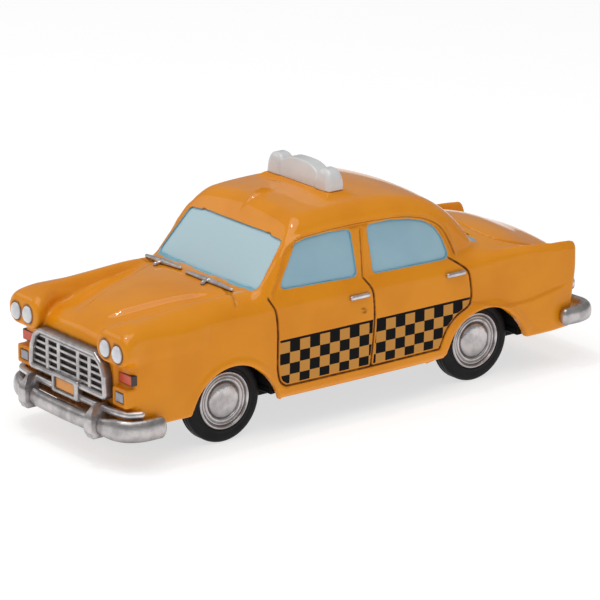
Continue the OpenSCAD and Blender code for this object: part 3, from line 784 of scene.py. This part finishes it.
def painted_shade(points):
    """Where painted shade darkens the body, from 0 to 1: round the door lock, the lamps, the grille and lamp
    recesses, along the cowl and boot lines, and behind the bumper rail.
    """
    x, y, z = points.T
    a = np.abs(x)
    lines = 0.9 * bell(np.hypot(y - LOCK[0], z - LOCK[1]) - LOCK_R, 0.16) * step(a, 18, 19)
    for x0, z0 in LAMPS:
        ring = np.hypot((a - x0) / LAMP_HALF[0], (z - z0) / LAMP_HALF[1]) * 1.7 - 1.7
        lines = np.maximum(lines, bell(np.maximum(ring, 0), 0.34) * (1 - step(y, -58.2, -57.4)))
    cowl = 0.4 * bell(trace(a, y, COWL_SEAM), 0.3) * step(z, 28, 29) * (1 - step(a, 19, 20))
    lines = np.maximum(lines, cowl)
    lines = np.maximum(lines, 0.25 * bell(trace(a, y, BOOT_SEAM), 0.22) * step(z, 20, 22))
    grille_edge = polygon(a, z, GRILLE_SHAPE)
    front = 1 - step(y, NOSE + 0.3, NOSE + 1.2)
    lines = np.maximum(lines, 0.85 * bell(np.maximum(grille_edge, 0), 0.35) * front * step(z, 12.5, 13.5))
    lamp = block((a - TURN_LAMP[0], z - TURN_LAMP[1]), (2.35, 1.25), 0.2)
    lines = np.maximum(lines, 0.9 * bell(np.maximum(lamp, 0), 0.25) * front)
    square = block((a - PARKING_LAMP[0], z - PARKING_LAMP[1]), (1.45, 1.15), 0.25)
    lines = np.maximum(lines, 0.8 * bell(square, 0.28) * (1 - step(y, NOSE - 1.6, NOSE + 0.2)))
    # Painted shade on the nose behind the bumper rail
    behind_rail = (1 - step(z, 12.4, 13.2)) * front * (1 - step(a, 13, 17))
    return np.clip(np.maximum(lines, 0.9 * behind_rail), 0, 1)


def make_body():
    low = (-HALF_W - 1.6, POD_FACE - 1.2, SILL - 0.9)
    high = (HALF_W + 1.6, TAIL + 1.0, PLINTH_TOP + 0.8)
    pitch = 0.4
    share = 0.72
    piece, points = cast(
        "cab_body", body, low, high, pitch, PAINT, share=share, slot="body_paint", nodes=["body_shell"],
    )
    x, y, z = points.T
    mark(piece, "window", window_edge(x, y, z) + 9 * (cabin(np.abs(x), y, z) > 0.6))
    mark(piece, "front_door", polygon(y, z, FRONT_DOOR))
    mark(piece, "rear_door", polygon(y, z, REAR_DOOR))
    mark(piece, "drip", polygon(y, z, BELOW_RAIL))
    # The painted shade in grooves and recesses, for the paint
    mark(piece, "groove", painted_shade(points))


def make_pane(name, node, outline, across, low, high):
    """A painted pane that follows the cabin, set back in its pocket."""

    def rim(x, y, z):
        return rounded(x if across else y, z, outline, 1.1)

    def pane(x, y, z):
        skin = cabin(np.abs(x), y, z)
        slab = np.maximum(skin + PANE_DEPTH, -(skin + POCKET_DEPTH - 0.1))
        return round_max(slab, rim(x, y, z) - 0.25, 0.1)

    pitch = 0.32
    piece, points = cast(name, pane, low, high, pitch, PANE, slot="pane_blue", nodes=[node])
    mark(piece, "rim", rim(*points.T))
    # The windscreen and rear window get the painted sheen
    mark(piece, "painted_sheen", np.full(len(points), 1.0 if across else 0.0))


def make_panes():
    make_pane("windscreen_pane", "windscreen", WINDSCREEN, True, (-19, -28, 29), (19, -14, 42))
    make_pane("rear_window_pane", "rear_window", REAR_WINDOW, True, (-18, 24.5, 29), (18, 38, 40))
    for side, sign in (("left", 1), ("right", -1)):
        for place, outline in (("front", FRONT_DOOR_WINDOW), ("rear", REAR_DOOR_WINDOW)):
            ys = [p[0] for p in outline]
            xs = sorted((sign * 14.0, sign * 19.5))
            node = f"{place}_door_window_{side}"
            low, high = (xs[0], min(ys) - 1, 28), (xs[1], max(ys) + 1, 41)
            make_pane(node + "_pane", node, outline, False, low, high)


# ---- The front and rear ----

GUARD_X = 11.6
GUARD_HALF_W = 1.2
FRONT_PLATE_Z = 12.9
REAR_PLATE_Z = 17.85
BLADE_LINE = [
    (0, -59.85), (6, -59.7), (11.6, -59.35), (16, -58.75), (18.8, -57.5), (20.2, -55.3), (20.55, -50.6),
]
RAIL_LINE = [(0, -58.0), (6, -58.0), (11.6, -57.95), (16, -57.7), (18.7, -56.8), (19.9, -54.6)]
REAR_LINE = [(0, 60.55), (8, 60.55), (14, 60.5), (17.6, 60.25), (19.6, 59.2), (20.5, 57.2), (20.6, 52.7)]


def shaded_cast(name, node, field, low, high, pitch, shade_at, material, slot="silver_paint"):
    """A cast piece whose painted shade, from 0 to 1, is worked out at each of its points."""
    piece, points = cast(name, field, low, high, pitch, material, slot=slot, nodes=[node] if node else ())
    mark(piece, "depth", shade_at(*points.T) if shade_at else np.zeros(len(points)))


def grille(x, y, z):
    """Frame, upright bars and tilted slats over a back plate."""
    shape = rounded(x, z, GRILLE_SHAPE, 1.2)
    front = NOSE - y
    rim = round_max(np.abs(shape + 0.6) - 0.6, front - 1.75, 0.5)
    bars = np.abs(np.abs(np.abs(x) - 5.4) - 2.0) - 0.5
    bars = round_max(bars, front - 1.35, 0.3)
    pitch = 1.42
    slat_z = z - 14.9 - 0.35 * (front - 0.6)
    slats = np.abs((slat_z + pitch / 2) % pitch - pitch / 2) - 0.34
    slats = round_max(slats, front - 1.1, 0.2)
    inside = np.minimum(np.minimum(bars, slats), front - 0.35)
    whole = round_min(rim, np.maximum(inside, shape + 0.3), 0.12)
    clear_of_pod = 0.02 - pod(np.abs(x), y, z)
    return np.maximum(np.maximum(whole, -front - 0.2), clear_of_pod)


# Painted shade on the grille: at the back of its recess, along the frame's inner edge, and round its outer
# side near the back
def grille_shade(x, y, z):
    shape = rounded(x, z, GRILLE_SHAPE, 1.2)
    front = NOSE - y
    deep = 0.85 * (1 - step(front, 0.45, 1.05))
    edge = 0.6 * bell(shape + 1.25, 0.18) * (1 - step(front, 1.2, 1.6))
    outer = 0.7 * step(shape, -0.25, 0.0) * (1 - step(front, 0.8, 1.4))
    return np.clip(np.maximum(np.maximum(deep, edge), outer), 0, 1)


def bent_bar(x, y, z, line, middle_z, half_t, half_h, power):
    """A bar along a line in plan, with a rounded section whose half height follows half_h."""
    off = trace(np.abs(x), y, smooth_line(line, 4)) / half_t
    up = np.abs(z - middle_z) / half_h
    return ((off ** power + up ** power + 1e-9) ** (1 / power) - 1) * half_t


def front_blade(x, y, z):
    fat = step(np.abs(x), 12.5, 17.0)
    return bent_bar(x, y, z, BLADE_LINE, 8.2 + 0.15 * fat, 1.15 + 0.08 * fat, 1.75 + 0.5 * fat, 2.1)


# Painted shade on the blade: where the guards meet it, and on its back between them
def blade_shade(x, y, z):
    a = np.abs(x)
    by_guard = bell(np.maximum(np.abs(a - GUARD_X) - GUARD_HALF_W, 0), 0.3)
    back = step(y, -59.4, -58.2) * (1 - step(a, 13, 15)) * step(z, 8, 10)
    return np.clip(0.7 * by_guard + 0.7 * back, 0, 1)


def front_rail(x, y, z):
    return bent_bar(x, y, z, RAIL_LINE, 11.55, 0.72, 0.74, 2.0)


def guards(x, y, z):
    """Two uprights that wrap the blade and end in a point at the rail."""
    side = np.abs(x) - GUARD_X
    narrow = 0.95 * step(z, 9.6, 12.8)
    lean = 1.5 * step(z, 9.6, 12.8) + 0.7 * (1 - step(z, 5.9, 7.4))
    shape = block((side, y + 60.0 - lean, z - 9.2), (GUARD_HALF_W, 1.85, 3.45), 0.35)
    return np.maximum(shape, np.abs(side) - GUARD_HALF_W + narrow) * 0.95


def front_plate(x, y, z):
    shape = block((x, y + 58.45, z - FRONT_PLATE_Z + 0.05), (4.6, 0.85, 2.05), 0.45)
    hollow = block((x, y + 59.3, z - FRONT_PLATE_Z), (3.4, 0.6, 1.15), 0.4)
    return round_max(shape, -hollow, 0.2)


def front_plate_face(x, y, z):
    return block((x, y + 58.65, z - FRONT_PLATE_Z), (3.45, 0.28, 1.2), 0.25)


def rear_blade(x, y, z):
    fat = step(np.abs(x), 13.0, 18.0)
    return bent_bar(x, y, z, REAR_LINE, 11.1, 1.12 + 0.05 * fat, 1.75 + 0.1 * fat, 2.3)


def rear_plate(x, y, z):
    shape = block((x, y - TAIL - 0.35, z - REAR_PLATE_Z), (4.7, 0.6, 2.25), 0.4)
    hollow = block((x, y - TAIL - 0.95, z - REAR_PLATE_Z), (3.7, 0.35, 1.5), 0.3)
    return round_max(shape, -hollow, 0.15)


def make_front_and_rear():
    fine = 0.17
    coarse = 0.24
    far = BLADE_END + 1

    # Painted shade on the guards' sides where they wrap the blade, round each plate's hollow, and on the rear
    # blade's face towards the body
    def guard_shade(x, y, z):
        return 0.6 * step(np.abs(np.abs(x) - GUARD_X), 1.0, GUARD_HALF_W) * step(y, -60.6, -59.6)

    def plate_shade(x, y, z):
        return 0.75 * bell(block((x, z - FRONT_PLATE_Z), (3.4, 1.15), 0.4), 0.25)

    def rear_blade_shade(x, y, z):
        return 0.8 * (1 - step(y, 57.6, 58.6)) * (1 - step(np.abs(x), 16, 18))

    def rear_plate_shade(x, y, z):
        return 0.8 * bell(block((x, z - REAR_PLATE_Z), (3.7, 1.5), 0.3), 0.25)

    shaded_cast(
        "grille_casting", "grille", grille, (-14.5, NOSE - 2.4, 12.6), (14.5, NOSE + 0.6, 23.2),
        fine, grille_shade, SILVER,
    )
    shaded_cast(
        "front_bumper_blade", "front_bumper", front_blade, (-far, -62.4, 5.0), (far, -48.0, 11.6),
        coarse, blade_shade, SILVER,
    )
    # Painted shade under the tube
    shaded_cast(
        "front_bumper_tube", "front_bumper_rail", front_rail, (-far, -59.5, 10.2), (far, -53.0, 13.0),
        coarse, lambda x, y, z: 0.8 * (1 - step(z, 10.8, 11.3)), BRIGHT_SILVER,
    )
    shaded_cast(
        "bumper_guard_pair", "bumper_guards", guards, (-13.6, -62.6, 5.2), (13.6, -57.0, 13.4),
        coarse * 0.8, guard_shade, SILVER,
    )
    shaded_cast(
        "front_plate_frame", "front_plate", front_plate, (-5.4, -60.2, 10.0), (5.4, -57.0, 15.8),
        fine, plate_shade, SILVER,
    )
    cast(
        "front_plate_face", front_plate_face, (-4.2, -59.4, 11.2), (4.2, -57.9, 14.6),
        fine, PLATE_ORANGE, slot="body_paint",
    )
    shaded_cast(
        "rear_bumper_blade", "rear_bumper", rear_blade, (-far, 50.5, 8.2), (far, 62.6, 14.8),
        coarse, rear_blade_shade, SILVER,
    )
    shaded_cast(
        "rear_plate_frame", "rear_plate", rear_plate, (-5.4, TAIL - 0.8, 15.0), (5.4, TAIL + 1.4, 20.6),
        fine, rear_plate_shade, SILVER,
    )


# ---- Lamps ----

LENS_Y = POD_FACE + 0.05
TURN_HALF = (2.2, 1.12)
PARKING_HALF = (1.35, 1.0)
TAIL_LAMP = (17.0, 17.2)
TAIL_LAMP_Y = TAIL - 0.95


def headlamps(x, y, z):
    sizes = (LAMP_HALF[0], 0.95, LAMP_HALF[1])
    return nearest(ellipsoid((np.abs(x) - x0, y - LENS_Y, z - z0), sizes, 1.2) for x0, z0 in LAMPS)


def turn_lamps(x, y, z):
    offsets = (np.abs(x) - TURN_LAMP[0], y - (NOSE + 1.5), z - TURN_LAMP[1])
    return block(offsets, (TURN_HALF[0], 0.75, TURN_HALF[1]), 0.22)


def parking_lamps(x, y, z):
    offsets = (np.abs(x) - PARKING_LAMP[0], y - (NOSE + 0.05), z - PARKING_LAMP[1])
    return block(offsets, (PARKING_HALF[0], 0.6, PARKING_HALF[1]), 0.28)


def tail_bezels(x, y, z):
    out = np.hypot(np.abs(x) - TAIL_LAMP[0], z - TAIL_LAMP[1])
    return round_max(np.abs(out - 1.45) - 0.3, np.abs(y - TAIL_LAMP_Y) - 0.75, 0.25)


def tail_lenses(x, y, z):
    return ellipsoid((np.abs(x) - TAIL_LAMP[0], z - TAIL_LAMP[1], y - TAIL_LAMP_Y), (1.3, 1.3, 0.9), 1.3)


def make_lamps():
    fine = 0.15

    # Painted shade: a dark line along each turn and parking lamp's edge, and the headlamp lenses darker
    # inside their hoods
    def turn_lamp_shade(x, y, z):
        edge = block((np.abs(x) - TURN_LAMP[0], z - TURN_LAMP[1]), (2.15, 1.1), 0.22)
        return step(edge, -0.3, -0.05)

    def parking_lamp_shade(x, y, z):
        edge = block((np.abs(x) - PARKING_LAMP[0], z - PARKING_LAMP[1]), PARKING_HALF, 0.28)
        return 0.8 * step(edge, -0.22, -0.02)

    shaded_cast(
        "headlamp_lenses", "headlamps", headlamps,
        (-20.2, POD_FACE - 1.8, 21.6), (20.2, POD_FACE + 1.5, 26.6),
        fine, lambda x, y, z: 0.75 * step(y, POD_FACE - 0.32, POD_FACE - 0.05), LAMP_WHITE, "lamp_white",
    )
    shaded_cast(
        "turn_lamp_pair", "turn_lamps", turn_lamps, (-20.5, NOSE - 0.2, 16.6), (20.5, NOSE + 2.4, 20.1),
        fine, turn_lamp_shade, LAMP_ORANGE, "lamp_orange",
    )
    shaded_cast(
        "parking_lamp_pair", "parking_lamps", parking_lamps,
        (-18.6, NOSE - 1.4, 13.2), (18.6, NOSE + 0.6, 16.2), fine, parking_lamp_shade, LAMP_GREY, "lamp_grey",
    )
    shaded_cast(
        "tail_lamp_bezels", None, tail_bezels, (-19.6, TAIL - 2.4, 14.8), (19.6, TAIL + 0.8, 19.6),
        fine, None, BRIGHT_SILVER,
    )
    shaded_cast(
        "tail_lamp_lenses", "tail_lamps", tail_lenses, (-19.2, TAIL - 2.6, 15.4), (19.2, TAIL + 0.8, 19.0),
        fine, None, LAMP_RED, "lamp_red",
    )


# ---- Trim ----

# Each wiper's two ends and its pivot, in plan
WIPERS = [((13.6, -28.3), (0.0, -29.5), (7.0, -30.6)), ((-3.0, -28.9), (-15.3, -28.6), (-9.6, -30.4))]
WIPER_LIFT = 0.42
# Middle of each door handle, along and up
HANDLES = [(-1.15, 25.4), (23.6, 25.55)]


def wiper(x, y, z, tip, heel, pivot):
    """A leaf between two ends, its arm and the knob that it turns on."""
    heights = [float(deck(np.array(abs(px)), np.array(py))) for px, py in (tip, heel, pivot)]
    start, end = (*tip, heights[0] + WIPER_LIFT), (*heel, heights[1] + WIPER_LIFT)
    middle = tuple((a + b) / 2 for a, b in zip(start, end))
    foot = heights[2] - 0.1
    leaf = round_min(rod(x, y, z, start, middle, 0.36, 0.7), rod(x, y, z, middle, end, 0.7, 0.36), 0.2)
    arm = rod(x, y, z, (*pivot, foot + 0.5), (middle[0], middle[1], middle[2] + 0.3), 0.34, 0.2)
    knob = rod(x, y, z, (*pivot, foot), (*pivot, foot + 0.55), 0.5, 0.42)
    return round_min(round_min(leaf, arm, 0.15), knob, 0.15)


def wipers(x, y, z):
    return nearest(wiper(x, y, z, *places) for places in WIPERS)


def handles(x, y, z):
    offset = np.abs(x) - HALF_W - 0.28
    return nearest(block((offset, y - y0, z - z0), (0.5, 2.45, 0.52), 0.4) for y0, z0 in HANDLES)


def make_trim():
    fine = 0.13

    # Painted shade where the wipers meet the bonnet and where the handles meet the doors
    shaded_cast(
        "wiper_pair", "wipers", wipers, (-17, -32, 28.6), (15.2, -27, 33.0),
        fine, lambda x, y, z: 0.85 * (1 - step(z - deck(np.abs(x), y), 0.15, 0.45)), BRIGHT_SILVER,
    )
    shaded_cast(
        "door_handle_set", "door_handles", handles, (-20.8, -4.2, 24.4), (20.8, 26.8, 26.6),
        fine * 1.2, lambda x, y, z: 0.9 * (1 - step(np.abs(x), HALF_W - 0.15, HALF_W + 0.1)), BRIGHT_SILVER,
    )


def make_sign():
    """A moulded sign: an arched middle panel between two rounded ends."""
    low, high = box_mm("roof_sign")
    foot, top = low[2], high[2]

    def sign(x, y, z):
        a = np.abs(x)
        up = (z - foot) / (top - 0.9 - foot)
        arch = z - (top - 0.55 - 0.012 * a ** 2 - 0.0009 * a ** 4)
        panel = round_max(np.maximum(a - 7.6, np.abs(y) - 1.95 + 0.35 * up), arch, 0.4)
        oval = (np.abs((a - 7.95) / 2.65) ** 2.8 + np.maximum(up, 0) ** 2.8 + 1e-9) ** (1 / 2.8) - 1
        lobe = round_max(oval * 2.4, np.abs(y) - 2.2 + 0.3 * up, 1.1)
        return np.maximum(round_min(panel, lobe, 0.12), foot - z)

    pitch = 0.24
    cast(
        "sign_casting", sign, (-11.4, -2.8, foot - 0.6), (11.4, 2.8, top + 0.8), pitch, SIGN_WHITE,
        slot="sign_white", nodes=["roof_sign"],
    )


# ---- Wheels ----

RIM_R = box_mm("wheel_front_left")[1][2] - AXLE_Z
TREAD_R = 0.75
# Radii of the wheel cover's three dark rings of painted shade in its grooves, where the cover is 6.06 across
# its radius
COVER_R = 6.06
RINGS = [(3.76, 1.0, 0.13), (4.66, 0.7, 0.1), (5.3, 0.95, 0.1)]


def lathe(profile, y, sign, steps=96):
    """Points and faces of a profile of (radius, distance outwards) turned about an axle."""
    angles = np.linspace(0, 2 * math.pi, steps, endpoint=False)
    r, out = np.array(profile, float).T
    x = sign * (TYRE_FACE + out)[:, None] + 0 * angles
    around = (y + np.outer(r, np.cos(angles)), AXLE_Z + np.outer(r, np.sin(angles)))
    points = np.stack([x, *around], 2).reshape(-1, 3)
    faces = []
    for i in range(len(profile) - 1):
        for k in range(steps):
            n = (k + 1) % steps
            face = (i * steps + k, i * steps + n, (i + 1) * steps + n, (i + 1) * steps + k)
            faces.append(face if sign > 0 else face[::-1])
    return points, faces


def tyre_profile():
    """Bead, wall with a raised ring, shoulder, two grooves in the tread, and the back."""
    shoulder, back = TYRE_R - TREAD_R, 0.2 - TYRE_W
    outline = [(RIM_R - 0.3, -0.7), (RIM_R - 0.15, -0.25), (RIM_R + 0.1, -0.02), (RIM_R + 0.45, 0.0)]
    outline += [(RIM_R + 0.75, -0.12), (RIM_R + 0.95, -0.1), (RIM_R + 1.5, -0.05), (shoulder, -0.12)]
    for t in np.linspace(0.2, 1.5, 7):
        outline.append((shoulder + TREAD_R * math.sin(t), -0.12 - TREAD_R + TREAD_R * math.cos(t)))
    for groove in (-1.3, -2.6):
        outline += [(TYRE_R, groove + 0.2), (TYRE_R - 0.2, groove + 0.1)]
        outline += [(TYRE_R - 0.2, groove - 0.1), (TYRE_R, groove - 0.2)]
    outline.append((TYRE_R, back + TREAD_R))
    for t in np.linspace(0.2, 1.5, 6):
        outline.append((shoulder + TREAD_R * math.cos(t), back + TREAD_R - TREAD_R * math.sin(t)))
    return outline + [(RIM_R + 0.6, back), (RIM_R - 0.2, back + 0.1), (RIM_R - 0.3, back + 0.6)]


def cover_profile():
    """Dome, dished ring, raised rim, and the hub behind."""
    outline = [(3.6 * math.sin(t), 0.62 * math.cos(t) - 0.3) for t in np.linspace(0.0, 1.5, 14)]
    outline += [
        (3.66, -0.42), (3.76, -0.52), (3.88, -0.44), (4.0, -0.26), (4.2, -0.16), (4.5, -0.18), (4.66, -0.3),
        (4.78, -0.2), (4.95, -0.1), (5.12, -0.14), (5.24, -0.3), (5.34, -0.26), (5.44, 0.02), (5.6, 0.18),
        (5.82, 0.2), (5.98, 0.08), (COVER_R, -0.12), (COVER_R, -0.6), (5.6, -1.2), (5.2, 0.4 - TYRE_W),
        (4.9, 0.4 - TYRE_W), (4.9, -1.8), (2.2, -2.0), (2.2, -TYRE_W - 0.35), (0.9, -TYRE_W - 0.35),
        (0.9, 0.5 - TYRE_W),
    ]
    scale = (RIM_R + 0.02) / COVER_R
    return [(r * scale, out) for r, out in outline], scale


def make_wheels():
    cover, scale = cover_profile()
    for end, y in zip(("front", "rear"), AXLES_Y):
        for side, sign in (("left", 1), ("right", -1)):
            body = f"{end}_wheel_set"
            points, faces = lathe(tyre_profile(), y, sign)
            tyre = add_piece(
                f"{end}_{side}_tyre", points, faces, RUBBER, body, "tyre_black", [f"tyre_{end}_{side}"],
            )
            points, faces = lathe(cover, y, sign)
            wheel = add_piece(
                f"{end}_{side}_wheel", points, faces, WHEEL_SILVER, body, "wheel_chrome",
                [f"wheel_{end}_{side}"],
            )
            r = np.hypot(points[:, 1] - y, points[:, 2] - AXLE_Z) / scale
            # Painted shade in the cover's grooves
            mark(wheel, "depth", np.max([strength * bell(r - at, width) for at, strength, width in RINGS], 0))
            for piece in (tyre, wheel):
                smoother = piece.modifiers.new("smooth", "SUBSURF")
                smoother.levels = smoother.render_levels = 1


# ---- Base, axles and screws ----

PAN_HALF_W = 11.2
PAN_END = 53.8
BASE_FOOT = SILL - 2.15
TUB_SKIN = 11.4
SCREW_Y = 24.49


def base(x, y, z):
    """The moulded base: pan, floor, wheel tubs and bearings."""
    a, b = np.abs(x), np.abs(y)
    from_axle = np.hypot(b - AXLES_Y[1], z - AXLE_Z)
    pan = round_max(a - PAN_HALF_W, BASE_FOOT - z, 0.5)
    pan = round_max(pan, np.maximum(b - PAN_END, z - 9.6), 0.5)
    floor = block((x, y, z - 9.0), (17.45, PAN_END, 0.75), 0.2)
    tub = np.maximum(np.abs(from_axle - TUB_SKIN + 0.6) - 0.6, np.abs(a - 13.8) - 3.65)
    wall = np.maximum(from_axle - TUB_SKIN, np.abs(a - 9.8) - 0.3)
    tub = np.maximum(np.minimum(tub, wall), SILL + 0.1 - z)
    well = np.maximum(from_axle - TUB_SKIN + 1.2, 10.1 - a)
    bearing = block((a - 8.3, b - AXLES_Y[1], z - 9.0), (1.0, 2.3, 3.05), 0.4)
    whole = round_max(np.minimum(round_min(pan, floor, 0.4), tub), -well, 0.1)
    recess = np.maximum(np.hypot(x, b - SCREW_Y) - 2.45, z - BASE_FOOT - 1.0)
    return round_max(round_min(whole, bearing, 0.3), -recess, 0.12)


def dress_frame():
    pitch = 0.42
    cast(
        "moulded_base", base, (-18.2, -54.6, SILL - 2.8), (18.2, 54.6, 20.9), pitch, BLACK_PLASTIC,
        slot="black_plastic", nodes=["base_plate"],
    )
    for name in ("front_axle", "rear_axle"):
        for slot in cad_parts[name].material_slots:
            slot.material = STEEL
    low, high = box_mm("base_screws")
    screw_r = (high[0] - low[0]) / 2
    reach = (high[1] - low[1]) / 2 - screw_r
    middle = (high[1] + low[1]) / 2

    def screws(x, y, z):
        """Two low heads, each with a cross slot."""
        along = np.abs(y - middle) - reach
        r = np.hypot(x, along)
        head = round_max(r - screw_r, low[2] + 0.02 * r ** 2 - z, 0.25)
        slots = ((1.25, 0.24, 0.5), (0.24, 1.25, 0.5))
        cross = nearest(block((x, along, z - low[2]), sizes, 0.06) for sizes in slots)
        return np.maximum(round_max(head, -cross, 0.08), z - high[2])

    pitch = 0.16
    margin = np.array((0.5, 0.5, 0.5))
    low_corner = np.array((-screw_r, low[1], low[2])) - margin
    high_corner = np.array((screw_r, high[1], high[2])) + margin
    cast(
        "base_screw_pair", screws, low_corner, high_corner, pitch, STEEL, slot="steel", nodes=["base_screws"],
    )


# ---- Stage, in metres ----


def add_softbox(name, where, aim, size, power):
    light = bpy.data.lights.new(name, "AREA")
    light.shape = "RECTANGLE"
    light.size, light.size_y = size
    light.energy = power
    lamp = bpy.data.objects.new(name, light)
    lamp.location = where
    lamp.rotation_euler = (Vector(aim) - Vector(where)).to_track_quat("-Z", "Y").to_euler()
    bpy.context.scene.collection.objects.link(lamp)


def make_stage():
    scene = bpy.context.scene
    camera = bpy.data.cameras.new("camera")
    camera.sensor_width = 36
    camera.lens = 229.7
    camera.clip_start, camera.clip_end = 0.05, 10
    view = bpy.data.objects.new("camera", camera)
    view.location = (0.596, -0.4507, 0.2527)
    view.rotation_euler = (math.radians(90 - 17.33), 0, math.radians(52.98))
    scene.collection.objects.link(view)
    scene.camera = view
    half = 3.0
    mesh = bpy.data.meshes.new("floor")
    corners = [(-half, -half, 0), (half, -half, 0), (half, half, 0), (-half, half, 0)]
    mesh.from_pydata(corners, [], [(0, 1, 2, 3)])
    floor = bpy.data.objects.new("floor", mesh)
    scene.collection.objects.link(floor)
    shade = Shade("floor_white")
    where, _ = shade.place()
    floor.data.materials.append(shade.finish(
        Base_Color=(0.5, 0.5, 0.5), Roughness=shade.noise(where, 0.01) * 0.1 + 0.6, Specular_IOR_Level=0.0,
        Emission_Color=(1, 1, 1), Emission_Strength=0.66,
    ))
    world = bpy.data.worlds.new("studio")
    world.use_nodes = True
    world.node_tree.nodes["Background"].inputs["Color"].default_value = (1, 1, 1, 1)
    world.node_tree.nodes["Background"].inputs["Strength"].default_value = 0.3
    scene.world = world
    scene.view_settings.view_transform = "Standard"
    add_softbox("top_softbox", (0.08, -0.16, 0.75), (0, 0, 0.02), (0.8, 0.8), 3.1)
    add_softbox("far_softbox", (-0.62, -0.42, 0.42), (0, 0, 0.03), (0.4, 0.3), 0.25)
    add_softbox("key_lamp", (-0.06, -0.16, 0.8), (0, 0, 0.03), (0.06, 0.06), 0.6)


make_stage()
make_body()
make_panes()
make_front_and_rear()
make_lamps()
make_trim()
make_sign()
make_wheels()
dress_frame()
